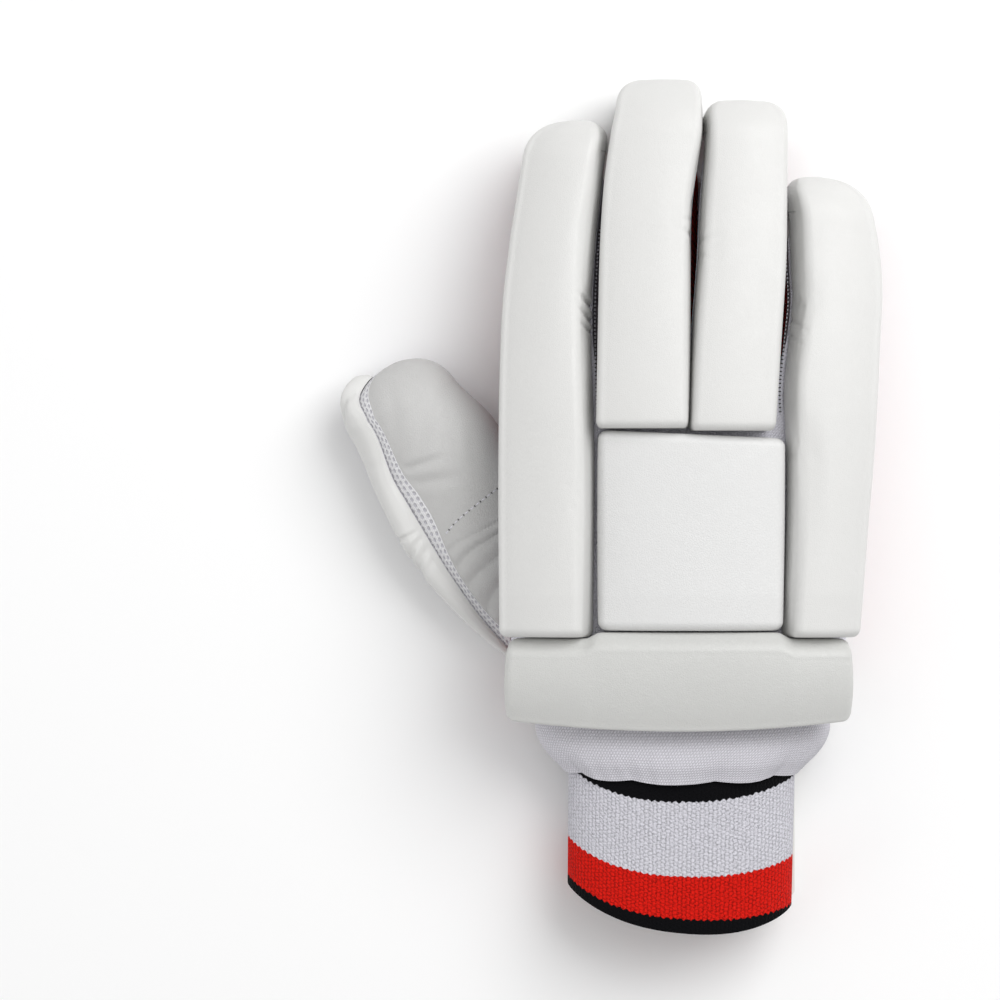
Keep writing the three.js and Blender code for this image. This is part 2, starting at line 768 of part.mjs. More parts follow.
const meshFrom = (s) => lerp(180, seam("trim")(s) + 1.5, smoothstep(s, 0.36, thumbStart));
const thumbMesh = () =>
  thumbPiece(0, 1, rowsOf(0, 1), meshFrom, (s) => 360 + seam("web")(s) - 1, 10, 0, -thumbWall);
const thumbLeather = () =>
  thumbPiece(thumbStart, 1, rowsOf(thumbStart, 1), seam("hand"), beside("leather", -0.6), 6, 0, -thumbWall);
const thumbTrim = () =>
  thumbPiece(thumbStart, 1, rowsOf(thumbStart, 1), beside("leather", 0.8), seam("trim"), 2, 0, -thumbWall);
const webEnd = 0.6;
const thumbWeb = () =>
  thumbPiece(0, webEnd, rowsOf(0, webEnd), beside("web", 1), () => -1, 4, 0, -thumbWall);

// The padded roll along the thumb's outer side swells between its two seams.
const padSwell = {
  columns: ["across", "depth"],
  rows: [
    [0, 0.35],
    [0.12, 0.85],
    [0.3, 1],
    [0.6, 0.62],
    [0.85, 0.3],
    [1, 0.08],
  ],
};
const thumbPad = () => {
  const taper = (u) => Math.sqrt(clamp(Math.min(u + 0.02, 1.02 - u) / 0.16, 0, 1));
  const depth = (u, v) => seamGap + 0.4 + thumbPadThickness * read(padSwell, "depth", v) * taper(u);
  const rows = rowsOf(thumbStart, padEnd);
  return thumbPiece(thumbStart, padEnd, rows, beside("trim", 2), () => 200, 8, depth, seamGap);
};

// The knitted wristband: a tube whose stripes and rims sag towards the wrist on both faces.
const bandSag = { start: 4, end: 12 };
function bandPoint(angle, along, inset) {
  const half = bandWidth / 2 - 0.4 - 1.2 * along - inset;
  const power = Math.sin(angle) > 0 ? 2.3 : 3;
  const middle = (bandTop + bandBottom) / 2;
  const rise = (bandTop - bandBottom) / 2 - inset;
  const sag = lerp(bandSag.start, bandSag.end, along) * Math.abs(Math.sin(angle)) ** 1.6;
  const x = bandCentre + half * squared(Math.cos(angle), power);
  const z = middle + rise * squared(Math.sin(angle), power);
  return point(x, -lerp(bandStart, bandEnd, along) - sag, z);
}
function wristband() {
  const rings = (inset) =>
    evenly(5).map((t) => evenly(28).slice(1).map((a) => bandPoint(2 * Math.PI * a, t, inset)));
  return wall(rings(0), rings(bandWall), true);
}

// The woven skirt that hangs out under the bar and gathers onto the wristband.
const skirtRows = {
  columns: ["along", "reach", "half", "top"],
  rows: [
    [0, 0, 49.4, -1.3],
    [0.25, 5.7, 50.4, 0.4],
    [0.5, 10.7, 48.8, 2.4],
    [0.75, 15.7, 45, 2.3],
    [0.92, 19.5, 42, 0.6],
    [1, 21.5, 41.4, 0],
  ],
};
function skirt() {
  const from = rad(-27);
  const to = rad(207);
  const rimTop = bandTop + seamGap + skirtWall + 0.4;
  const rows = (inset) =>
    evenly(6).map((t) =>
      evenly(20).map((a) => {
        const angle = lerp(from, to, a);
        const half = read(skirtRows, "half", t) + (bandWidth - 78) / 2 - inset;
        const middle = (bandTop + bandBottom) / 2;
        const rise = (Math.sin(angle) > 0 ? rimTop + read(skirtRows, "top", t) - middle : middle - bandBottom + 2) - inset;
        const sag = bandSag.start * t * Math.max(Math.sin(angle), 0) ** 1.6;
        const power = Math.sin(angle) > 0 ? 2.3 : 3;
        const x = bandCentre + half * squared(Math.cos(angle), power);
        const y = -skirtStart - read(skirtRows, "reach", t) - sag;
        return point(x, y, middle + rise * squared(Math.sin(angle), power));
      }),
    );
  return wall(rows(0), rows(skirtWall));
}

// The fastening strap under the wrist. Its sewn end turns up the side of the band.
const strapReach = bandCentre + bandWidth / 2;
function strapLine(t) {
  const turn = 13;
  const flat = strapReach + strapFreeEnd - turn;
  const length = flat + 0.7 * turn * (Math.PI / 2);
  const s = t * length;
  if (s <= flat) return { x: -strapFreeEnd + s, z: strapWall / 2, nx: 0, nz: 1 };
  const angle = (s - flat) / turn;
  return {
    x: -strapFreeEnd + flat + turn * Math.sin(angle) + 0.8 * Math.sin(angle),
    z: strapWall / 2 + turn * (1 - Math.cos(angle)),
    nx: -Math.sin(angle),
    nz: Math.cos(angle),
  };
}
function strap() {
  const steps = [0, 0.015, 0.05, 0.1, 0.16, 0.3, 0.5, 0.66, 0.74, 0.82, 0.91, 1];
  const length = strapReach + strapFreeEnd;
  const rows = (side) =>
    steps.map((t) => {
      const at = strapLine(t);
      const off = roundOff(t * length, strapCorner, 2);
      return [-strapTop - off, -strapBottom + off].map((y) =>
        point(at.x + (at.nx * side * strapWall) / 2, y, at.z + (at.nz * side * strapWall) / 2),
      );
    });
  return wall(rows(-1), rows(1));
}
// The hook patch between the strap's free end and the band.
function strapHook() {
  const out = 3.5;
  const shape = new THREE.Shape();
  const left = -strapFreeEnd - out;
  const right = left + 30;
  const top = -strapTop - 1.5;
  const bottom = -strapBottom + 1.5;
  const r = strapCorner;
  shape.moveTo(right, top);
  shape.lineTo(left + r, top);
  shape.absarc(left + r, top - r, r, Math.PI / 2, Math.PI, false);
  shape.lineTo(left, bottom + r);
  shape.absarc(left + r, bottom + r, r, Math.PI, 1.5 * Math.PI, false);
  shape.lineTo(right, bottom);
  const settings = { depth: hookWall, bevelEnabled: false, curveSegments: 5 };
  return new THREE.ExtrudeGeometry(shape, settings).translate(0, 0, strapWall + seamGap);
}

// The rolled leather edge of the slit beside the heel of the hand.
const edgingPath = [
  [43.1, -80, 5.6],
  [46.8, -72, 6.4],
  [49.9, -62, 9],
  [51.4, -56.6, 13],
  [51.4, -59, 17.3],
  [50.6, -66, 19.2],
];
function ventEdging() {
  const curve = new THREE.CatmullRomCurve3(edgingPath.map(([x, y, z]) => point(x, y, z)));
  const circle = new THREE.Shape().absarc(0, 0, edgingRadius, 0, 2 * Math.PI, false);
  return new THREE.ExtrudeGeometry(circle, { steps: 24, extrudePath: curve, curveSegments: 4 });
}

// Materials
const material = (color, roughness) => new THREE.MeshStandardMaterial({ color, roughness, metalness: 0 });
const padLeather = material("#eeede7", 0.45);
const palmHide = material("#e6e3dc", 0.55);
const thumbHide = material("#dcdad5", 0.55);
const whiteMesh = material("#eceaf2", 0.85);
const redMesh = material("#d8281f", 0.85);
const elastic = material("#e9e8f2", 0.8);
const trimCloth = material("#e6e5f0", 0.85);
const knit = material("#e8e7f0", 0.95);
const woven = material("#eeeef5", 0.9);
const strapHide = material("#ebe9e2", 0.5);
const hookCloth = material("#e4e2ee", 0.95);

const group = new THREE.Group();
function add(name, geometry, finish) {
  const mesh = new THREE.Mesh(geometry, finish);
  mesh.name = name;
  group.add(mesh);
}

for (const finger of fingers) {
  add(finger.name + "_pad", fingerPad(finger), padLeather);
  add(finger.name + "_gusset", gusset(finger), redMesh);
  add(finger.name + "_tape", tape(finger), elastic);
  add(finger.name + "_binding", binding(finger), trimCloth);
}
add("back_pad", backPad(), padLeather);
add("cuff_bar", cuffBar(), padLeather);
add("back_panel", backPanel(), woven);
add("palm_leather", palmLeather(), palmHide);
add("thumb_mesh", thumbMesh(), whiteMesh);
add("thumb_leather", thumbLeather(), thumbHide);
add("thumb_trim", thumbTrim(), trimCloth);
add("thumb_web", thumbWeb(), thumbHide);
add("thumb_pad", thumbPad(), padLeather);
add("skirt", skirt(), woven);
add("wristband", wristband(), knit);
add("strap", strap(), strapHide);
add("strap_hook", strapHook(), hookCloth);
add("vent_edging", ventEdging(), strapHide);

// The glove's own frame: the origin is on the floor under the middle of its box.
const box = new THREE.Box3().setFromObject(group);
const middle = box.getCenter(point(0, 0, 0));
for (const mesh of group.children) mesh.position.set(-middle.x, -middle.y, -box.min.z);

export default group;
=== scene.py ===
"""A right-hand batting glove: padded leather rolls, mesh side walls, a leather palm and a knitted wristband.

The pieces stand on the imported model's frame. The fingers point along +Y, the thumb lies to -X and the
glove rests on the floor at z = 0. Shapes are worked out in millimetres on the hand's layout, whose
origin is the middle of the palm, and go into the frame in metres.
"""

import math

import bpy
import numpy as np
from bpy.props import FloatProperty, FloatVectorProperty, PointerProperty
from bpy.types import Operator, Panel, PropertyGroup
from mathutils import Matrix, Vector
from mathutils.geometry import delaunay_2d_cdt


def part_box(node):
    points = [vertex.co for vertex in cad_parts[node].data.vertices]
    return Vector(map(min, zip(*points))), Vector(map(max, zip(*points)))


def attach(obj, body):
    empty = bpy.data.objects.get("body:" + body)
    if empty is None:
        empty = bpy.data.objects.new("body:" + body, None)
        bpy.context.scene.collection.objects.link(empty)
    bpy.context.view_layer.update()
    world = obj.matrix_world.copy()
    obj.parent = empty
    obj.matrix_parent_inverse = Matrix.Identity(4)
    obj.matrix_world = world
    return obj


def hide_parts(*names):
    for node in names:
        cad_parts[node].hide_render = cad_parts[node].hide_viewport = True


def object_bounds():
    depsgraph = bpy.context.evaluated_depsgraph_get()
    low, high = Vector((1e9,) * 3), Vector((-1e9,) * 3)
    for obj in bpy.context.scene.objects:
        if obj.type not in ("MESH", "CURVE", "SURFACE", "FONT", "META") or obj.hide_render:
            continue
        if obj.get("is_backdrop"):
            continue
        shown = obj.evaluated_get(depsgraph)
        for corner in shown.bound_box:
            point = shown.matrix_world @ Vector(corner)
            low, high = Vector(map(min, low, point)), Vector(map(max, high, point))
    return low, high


bl_info = {
    "name": "Batting Glove",
    "version": (1, 0, 0),
    "blender": (4, 5, 0),
    "location": "3D View > Sidebar > Glove",
    "description": "Builds a padded batting glove around its packed construction",
    "category": "Add Mesh",
}

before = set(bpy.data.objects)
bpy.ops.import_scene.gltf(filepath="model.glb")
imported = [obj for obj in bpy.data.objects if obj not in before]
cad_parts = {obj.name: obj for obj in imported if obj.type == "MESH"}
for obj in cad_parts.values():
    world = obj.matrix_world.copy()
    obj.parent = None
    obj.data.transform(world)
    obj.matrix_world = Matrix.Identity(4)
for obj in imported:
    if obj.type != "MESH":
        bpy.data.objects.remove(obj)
cad_low, cad_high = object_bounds()

BODY = "root"
MILLIMETRES = 1000.0

# Sizes of the hand, in millimetres, as the construction has them
HAND_WIDTH = 130.0
HAND_HALF = HAND_WIDTH / 2
STALL_PITCH = HAND_WIDTH / 4.2
FINGER_REACH = 145.0
BACK_HEIGHT = 42.0
BACK_DROP = 13.0
ARCH_DROP = 12.0
CUFF_DROP = 3.0
PALM_HEIGHT = 9.0
THUMB_BULGE = 7.0
KNUCKLE_LINE = 30.0
CROTCH_LINE = 44.0

# Sizes of the pads
PAD_THICKNESS = 17.0
PAD_CROWN = 1.4
PAD_EDGE = 3.0
RING_STEP = 0.8
PLEAT_DEPTH = 1.1
SQUARE_LEFT = 32.0
SQUARE_RIGHT = 30.8
SQUARE_TOP = 25.2
SQUARE_BOTTOM = 42.2
SQUARE_THICKNESS = 12.5
SQUARE_CORNER = 3.2
BAR_TOP = 44.9
BAR_WIDTH = 23.3
BAR_LEAN = 4.8
BAR_BOW = 3.5
BAR_THICKNESS = 16.0
BAR_LEFT = 58.6
BAR_RIGHT = 49.7
BAR_CORNER = 3.2
BAR_EDGE = 1.8
BAR_GAP = 0.6
BAR_SHOULDER = 0.68
PAD_BASE = 0.5 - BAR_TOP

# Sizes of the sheets, strips and cuff
LEATHER = 1.6
LINING = 1.5
STRIP_WALL = 1.2
BINDING_RADIUS = 1.5
SEAM_GAP = 0.3
TAPE_WIDTH = 8.0
THUMB_ARCH = 19.5
THUMB_HEIGHT = 29.0
THUMB_WALL = 1.5
THUMB_PAD = 8.0
VENT_RADIUS = 1.1
BAND_CENTRE = -2.5
BAND_WIDTH = 78.0
BAND_TOP = 38.0
BAND_BOTTOM = 3.6
BAND_START = 86.0
BAND_END = 132.6
BAND_WALL = 2.5
BAND_SAG = (4.0, 12.3)
BAND_TILT = 3.5
BAND_NARROWING = 0.45
BAND_DRIFT = 0.8
BAND_PLACES = 50.0
STRIPE_RISE = 6.3
STRIPE_FALL = 8.8
STRIPE_SLANT = 1.5
STRIPE_BORDERS = (8.8, 31.7, 44.8)
SKIRT_START = 70.3
SKIRT_WALL = 1.2
STRAP_WALL = 2.0
STRAP_TOP = 88.0
STRAP_BOTTOM = 142.4
STRAP_FREE_END = 16.0
STRAP_CORNER = 12.0
HOOK_WALL = 1.0
EDGING_RADIUS = 2.0
PALM_END = BAND_START - BAND_WALL
LONG_END = 1 - SKIRT_START
SLIT_START = -53.0

# The strap's corner shows where the hand's layout lies in the frame.
strap_low, strap_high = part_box("strap")
SHIFT = np.array(
    [
        strap_low.x * MILLIMETRES + STRAP_FREE_END,
        strap_high.y * MILLIMETRES + STRAP_TOP,
        0.0,
    ]
)


class GloveShape(PropertyGroup):
    """Sizes of the soft detail"""

    pad_swell: FloatProperty(
        name="Pad swell",
        description="How far a filled pad may swell past its cut shape",
        default=0.0009,
        unit="LENGTH",
    )
    pad_fill: FloatProperty(
        name="Pad fill",
        description="How tightly the pads are filled, from slack to tight",
        default=0.9,
        subtype="FACTOR",
    )
    crease_depth: FloatProperty(
        name="Crease depth",
        description="Depth of the creases in the palm and thumb leather",
        default=0.0009,
        unit="LENGTH",
    )
    gather_depth: FloatProperty(
        name="Gather depth",
        description="Depth of the gathers in the skirt",
        default=0.0007,
        unit="LENGTH",
    )
    stitch_length: FloatProperty(
        name="Stitch length",
        description="Length of thread that shows between two needle holes",
        default=0.0012,
        unit="LENGTH",
    )
    stitch_pitch: FloatProperty(
        name="Stitch pitch",
        description="Distance from one stitch to the next",
        default=0.0018,
        unit="LENGTH",
    )
    thread_radius: FloatProperty(
        name="Thread radius",
        description="Half the thickness of the sewing thread",
        default=0.00022,
        unit="LENGTH",
    )


class GloveColours(PropertyGroup):
    """Base colours of the finishes"""

    pad: FloatVectorProperty(
        name="Pad leather",
        description="Coated leather of the finger rolls",
        default=(0.71, 0.708, 0.695),
        subtype="COLOR",
    )
    square: FloatVectorProperty(
        name="Square pad",
        description="Coated leather of the square pad",
        default=(0.735, 0.735, 0.73),
        subtype="COLOR",
    )
    # The bar is the same leather as the pads: its darker colour is painted shade for its broad face, which
    # tilts away from the light.
    bar: FloatVectorProperty(
        name="Cuff bar",
        description="Coated leather of the bar across the cuff",
        default=(0.63, 0.632, 0.615),
        subtype="COLOR",
    )
    palm: FloatVectorProperty(
        name="Palm leather",
        description="Soft leather of the palm",
        default=(0.74, 0.735, 0.705),
        subtype="COLOR",
    )
    thumb: FloatVectorProperty(
        name="Thumb leather",
        description="Soft leather over the thumb",
        default=(0.56, 0.557, 0.55),
        subtype="COLOR",
    )
    cloth: FloatVectorProperty(
        name="White cloth",
        description="White of the bindings, tapes and meshes",
        default=(0.72, 0.71, 0.77),
        subtype="COLOR",
    )
    skirt: FloatVectorProperty(
        name="Skirt cloth",
        description="Woven cloth of the skirt and the lining",
        default=(0.55, 0.54, 0.58),
        subtype="COLOR",
    )
    red: FloatVectorProperty(
        name="Red",
        description="Red of the mesh and of the wristband's stripe",
        default=(0.62, 0.011, 0.006),
        subtype="COLOR",
    )
    black: FloatVectorProperty(
        name="Black",
        description="Black of the tape's edges and of the wristband's stripes",
        default=(0.004, 0.004, 0.005),
        subtype="COLOR",
    )


class GloveStudio(PropertyGroup):
    """Camera, lights and floor"""

    camera_height: FloatProperty(
        name="Camera height",
        description="Height of the camera over the middle of the glove",
        default=1.5,
        unit="LENGTH",
    )
    picture_width: FloatProperty(
        name="Picture width",
        description="Width of the picture at the glove",
        default=0.34,
        unit="LENGTH",
    )
    key_power: FloatProperty(
        name="Key light",
        description="Power of the soft light from the fingertips' side",
        default=17.5,
        unit="POWER",
    )
    fill_power: FloatProperty(
        name="Fill light",
        description="Power of the wide light overhead",
        default=10.5,
        unit="POWER",
    )
    side_power: FloatProperty(
        name="Side light",
        description="Power of the weak light from the thumb's side",
        default=4.2,
        unit="POWER",
    )
    floor: FloatVectorProperty(
        name="Floor",
        description="Colour of the floor",
        default=(0.95, 0.95, 0.95),
        subtype="COLOR",
    )


# Tables and curves


def read(table, column, at):
    """A table's column at each place: a cubic between two rows that has the slopes of their neighbours."""
    rows = np.array(table["rows"], float)
    x = rows[:, 0]
    y = rows[:, table["columns"].index(column)]
    at = np.clip(np.asarray(at, float), x[0], x[-1])
    slope = (np.r_[y[1:], y[-1]] - np.r_[y[0], y[:-1]]) / (np.r_[x[1:], x[-1]] - np.r_[x[0], x[:-1]])
    i = np.clip(np.searchsorted(x, at, side="right") - 1, 0, len(x) - 2)
    span = x[i + 1] - x[i]
    t = (at - x[i]) / span
    rise = y[i + 1] - y[i]
    start = slope[i] * span
    end = slope[i + 1] * span
    return y[i] + t * start + t**2 * (3 * rise - 2 * start - end) + t**3 * (start + end - 2 * rise)


def smoothstep(x, low, high):
    """0 below low, 1 above high, and 3t^2 - 2t^3 between them."""
    t = np.clip((x - low) / (high - low), 0, 1)
    return t * t * (3 - 2 * t)


def lerp(a, b, t):
    """The mix a + (b - a) t."""
    return a + (b - a) * t


def round_off(distance, radius, power=2.3):
    """What a rounded end takes off: r (1 - (1 - (1 - d/r)^p)^(1/p)) at a distance d from that end."""
    missing = np.clip(1 - np.maximum(distance, 0) / radius, 0, 1)
    return radius * (1 - (1 - missing**power) ** (1 / power))


def squared(value, power):
    """A sine or cosine pushed out towards a square: its size to the power 2/p, with its sign."""
    return np.sign(value) * np.abs(value) ** (2 / power)


def unit(vectors):
    """Each vector over its own length."""
    return vectors / np.maximum(np.linalg.norm(vectors, axis=-1, keepdims=True), 1e-12)


def xyz(x, y, z):
    """Points from three arrays of coordinates."""
    return np.stack(np.broadcast_arrays(x, y, z), axis=-1).astype(float)


def lengths_along(line):
    """The distance from a line's start to each of its points."""
    steps = np.linalg.norm(np.diff(line, axis=0), axis=1)
    return np.r_[0, np.cumsum(steps)]


def resample(line, step):
    """Points an even step apart along a line."""
    along = lengths_along(line)
    count = max(int(round(along[-1] / step)), 2)
    at = np.linspace(0, along[-1], count + 1)
    return np.stack([np.interp(at, along, line[:, k]) for k in range(line.shape[1])], axis=1)


def smooth_line(points, step):
    """A Catmull-Rom curve through points, resampled at an even step."""
    p = np.asarray(points, float)
    ends = np.vstack([2 * p[0] - p[1], p, 2 * p[-1] - p[-2]])
    t = np.linspace(0, 1, 16, endpoint=False)[:, None, None]
    a, b, c, d = ends[:-3], ends[1:-2], ends[2:-1], ends[3:]
    curve = 0.5 * (2 * b + (c - a) * t + (2 * a - 5 * b + 4 * c - d) * t**2 + (3 * b - a - 3 * c + d) * t**3)
    line = np.vstack([curve.transpose(1, 0, 2).reshape(-1, p.shape[1]), p[-1:]])
    return resample(line, step)


def sideways(line):
    """The unit vector to the left of a flat line at each of its points."""
    ahead = np.vstack([line[1:], line[-1:]])
    behind = np.vstack([line[:1], line[:-1]])
    d = unit(ahead - behind)
    return np.stack([-d[:, 1], d[:, 0]], axis=1)


def pushed(line, distance):
    """A flat line moved to its left."""
    return line + sideways(line) * distance


def ripple(x, y, seed, size):
    """A smooth unevenness from -1 to 1: the sum of six waves of about one size in seeded directions."""
    draw = np.random.default_rng(seed)
    total = 0.0
    for _ in range(6):
        angle = draw.uniform(0, 2 * np.pi)
        wave = 2 * np.pi / (size * draw.uniform(0.7, 1.5))
        total = total + np.sin(wave * (x * np.cos(angle) + y * np.sin(angle)) + draw.uniform(0, 2 * np.pi))
    return total / 6


def fold(distance, width):
    """The section of a soft fold: a valley exp(-(d/w)^2) less its two low shoulders."""
    t = (distance / width) ** 2
    return np.exp(-t) - 0.45 * np.exp(-t / 4)


# Meshes


class Skin:
    """Points with their faces and the place of each face corner in the cloth's own plane."""

    def __init__(self, points, faces, places):
        self.points = points
        self.faces = faces
        self.places = places

    def outward(self):
        """Turns every face over if the volume inside comes out negative."""
        volume = 0.0
        for faces in self.faces:
            p = self.points[faces]
            for k in range(1, faces.shape[1] - 1):
                volume += np.einsum("ij,ij->", p[:, 0], np.cross(p[:, k], p[:, k + 1]))
        if volume < 0:
            self.faces = [faces[:, ::-1] for faces in self.faces]
            self.places = [places[:, ::-1] for places in self.places]
        return self


def joined(skins):
    """Several skins as one."""
    faces = []
    start = 0
    for skin in skins:
        faces += [f + start for f in skin.faces]
        start += len(skin.points)
    return Skin(np.vstack([s.points for s in skins]), faces, [p for s in skins for p in s.places])


def cells(rows, columns, layer=0, turned=False):
    """Layer, row and column of the four corners of each cell in a grid of cells."""
    i, j = (part.ravel() for part in np.meshgrid(np.arange(rows), np.arange(columns), indexing="ij"))
    order = [(0, 0), (1, 0), (1, 1), (0, 1)]
    if turned:
        order.reverse()
    return np.stack([np.stack([np.full_like(i, layer), i + a, j + b], axis=1) for a, b in order], axis=1)


def rim(first, second, turned):
    """The cells between one edge on two layers. Each edge is given as the rows and columns along it."""
    count = len(first) - 1
    corner = lambda layer, edge: np.column_stack([np.full(count, layer), edge])
    around = [corner(0, first[:-1]), corner(0, first[1:]), corner(1, second[1:]), corner(1, second[:-1])]
    if turned:
        around.reverse()
    return np.stack(around, axis=1)


def cloth_places(grid, around=False):
    """Places in millimetres: mean length along the rows' direction and mean length across the columns'."""
    closed = np.concatenate([grid, grid[:, :1]], axis=1) if around else grid
    down = np.linalg.norm(np.diff(closed, axis=0), axis=2).mean(axis=1)
    across = np.linalg.norm(np.diff(closed, axis=1), axis=2).mean(axis=0)
    u, v = np.meshgrid(np.r_[0, np.cumsum(down)], np.r_[0, np.cumsum(across)], indexing="ij")
    return np.stack([v, u], axis=-1)


def wall_skin(outer, inner, around=False, places=None):
    """The wall between two grids of points, with its rims. With around set, each row closes on itself."""
    rows, columns = outer.shape[:2]
    steps = columns if around else columns - 1
    if places is None:
        places = cloth_places(outer, around)
    parts = [cells(rows - 1, steps), cells(rows - 1, steps, 1, True)]
    for row in (0, rows - 1):
        edge = np.column_stack([np.full(steps + 1, row), np.arange(steps + 1)])
        parts.append(rim(edge, edge, row > 0))
    if not around:
        for column in (0, columns - 1):
            edge = np.column_stack([np.arange(rows), np.full(rows, column)])
            parts.append(rim(edge, edge, column == 0))
    corners = np.concatenate(parts)
    layer, row, column = corners[..., 0], corners[..., 1], corners[..., 2]
    faces = (layer * rows + row) * columns + column % columns
    points = np.vstack([outer.reshape(-1, 3), inner.reshape(-1, 3)])
    return Skin(points, [faces], [places[row, column]]).outward()


def loft_skin(grid):
    """Closed rows of points joined one to the next, with a fan over each end."""
    rows, columns = grid.shape[:2]
    places = cloth_places(grid, True)
    corners = cells(rows - 1, columns, 0, True)
    row, column = corners[..., 1], corners[..., 2]
    sides = row * columns + column % columns
    ends = []
    end_places = []
    for pole, at, turned in ((0, 0, True), (1, rows - 1, False)):
        j = np.arange(columns)
        pair = [at * columns + j, at * columns + (j + 1) % columns]
        if turned:
            pair.reverse()
        ends.append(np.column_stack([np.full(columns, rows * columns + pole), *pair]))
        end_places.append(np.stack([places[at, j], places[at, j], places[at, j + 1]], axis=1))
    poles = [grid[0].mean(axis=0), grid[-1].mean(axis=0)]
    points = np.vstack([grid.reshape(-1, 3), poles])
    return Skin(points, [sides, *ends], [places[row, column], *end_places]).outward()


def inside(points, loop):
    """True where a ray from a point towards +X crosses the loop an odd number of times."""
    a = loop
    b = np.roll(loop, -1, axis=0)
    y = points[:, 1:2]
    rise = np.where(a[:, 1] == b[:, 1], 1e-9, b[:, 1] - a[:, 1])
    crosses = (a[:, 1] > y) != (b[:, 1] > y)
    x = a[:, 0] + (y - a[:, 1]) * (b[:, 0] - a[:, 0]) / rise
    return (crosses & (points[:, :1] < x)).sum(axis=1) % 2 == 1


def sheet_skin(outline, holes, step, lower, upper):
    """The sheet between two heights z(x, y), cut to an outline seen from above, on a grid of one step."""
    low = outline.min(axis=0)
    high = outline.max(axis=0)
    xs, ys = np.meshgrid(np.arange(low[0], high[0], step), np.arange(low[1], high[1], step))
    grid = np.column_stack([xs.ravel(), ys.ravel()])
    grid[:, 0] += (np.round((grid[:, 1] - low[1]) / step) % 2) * step / 2
    kept = inside(grid, outline)
    for loop in (outline, *holes):
        apart = np.linalg.norm(grid[:, None, :] - loop[None, :, :], axis=2).min(axis=1)
        kept &= apart > 0.62 * step
    for hole in holes:
        kept &= ~inside(grid, hole)
    loops = [outline, *holes]
    edges = []
    start = 0
    for loop in loops:
        k = np.arange(len(loop))
        edges.append(np.column_stack([start + k, start + (k + 1) % len(loop)]))
        start += len(loop)
    flat = np.vstack([*loops, grid[kept]])
    made = delaunay_2d_cdt([Vector(p) for p in flat], np.vstack(edges).tolist(), [], 0, 1e-7)
    flat = np.array([tuple(p) for p in made[0]])
    faces = np.array([f for f in made[2] if len(f) == 3])
    middles = flat[faces].mean(axis=1)
    within = inside(middles, outline)
    for hole in holes:
        within &= ~inside(middles, hole)
    faces = faces[within]
    used, faces = np.unique(faces, return_inverse=True)
    faces = faces.reshape(-1, 3)
    flat = flat[used]
    a, b, c = (flat[faces[:, k]] for k in range(3))
    area = (b[:, 0] - a[:, 0]) * (c[:, 1] - a[:, 1]) - (b[:, 1] - a[:, 1]) * (c[:, 0] - a[:, 0])
    faces[area < 0] = faces[area < 0][:, ::-1]
    directed = np.vstack([faces[:, [0, 1]], faces[:, [1, 2]], faces[:, [2, 0]]])
    count = len(flat)
    keys = directed[:, 0] * count + directed[:, 1]
    border = directed[~np.isin(keys, directed[:, 1] * count + directed[:, 0])]
    x, y = flat[:, 0], flat[:, 1]
    points = np.vstack([xyz(x, y, upper(x, y)), xyz(x, y, lower(x, y))])
    p, q = border[:, 0], border[:, 1]
    rims = np.column_stack([q, p, p + count, q + count])
    triangles = np.vstack([faces, faces[:, ::-1] + count])
    places = np.vstack([flat, flat])
    return Skin(points, [triangles, rims], [places[triangles], places[rims]])


def stitch_skin(line, normal, pitch, length, radius, lift=0.0, offset=0.0):
    """Stitches along a line: each is a short tube of six sides whose radius is r (1 - (2t - 1)^4)."""
    along = lengths_along(line)
    count = max(int(along[-1] / pitch) - 1, 1)
    starts = (np.arange(count) + 0.5 + offset) * along[-1] / (count + 1) - length / 2
    t = np.array([0.02, 0.2, 0.5, 0.8, 0.98])
    at = starts[:, None] + t * length
    centre = np.stack([np.interp(at, along, line[:, k]) for k in range(3)], axis=-1)
    up = unit(np.stack([np.interp(at, along, normal[:, k]) for k in range(3)], axis=-1))
    ahead = unit(centre[:, -1:] - centre[:, :1])
    side = unit(np.cross(ahead, up))
    swell = radius * (1 - (2 * t - 1) ** 4)
    centre = centre + up * (lift + radius * 0.6 * np.sin(np.pi * t))[:, None]
    angle = np.linspace(0, 2 * np.pi, 6, endpoint=False)
    across = (swell[:, None] * np.cos(angle))[None, :, :, None] * side[:, :, None, :]
    rise = (swell[:, None] * np.sin(angle))[None, :, :, None] * up[:, :, None, :]
    grid = centre[:, :, None, :] + across + rise
    rows, columns = len(t), len(angle)
    corners = cells(rows - 1, columns, 0, True)
    one = corners[..., 1] * columns + corners[..., 2] % columns
    block = np.arange(count)[:, None] * rows * columns
    sides = (one[None] + block[:, :, None]).reshape(-1, 4)
    first = np.arange(columns)[None, ::-1] + block
    last = np.arange(columns)[None, :] + (rows - 1) * columns + block
    faces = [sides, first, last]
    return Skin(grid.reshape(-1, 3), faces, [np.zeros((*f.shape, 2)) for f in faces]).outward()


def draped(line, grid):
    """A flat line laid on a surface: its height is the mean of the four nearest points, the nearer the
    more."""
    flat = grid.reshape(-1, 3)
    apart = np.linalg.norm(line[:, None, :] - flat[None, :, :2], axis=2)
    near = np.argsort(apart, axis=1)[:, :4]
    weight = 1 / (np.take_along_axis(apart, near, axis=1) + 0.05)
    z = (flat[near, 2] * weight).sum(axis=1) / weight.sum(axis=1)
    return np.column_stack([line, z])


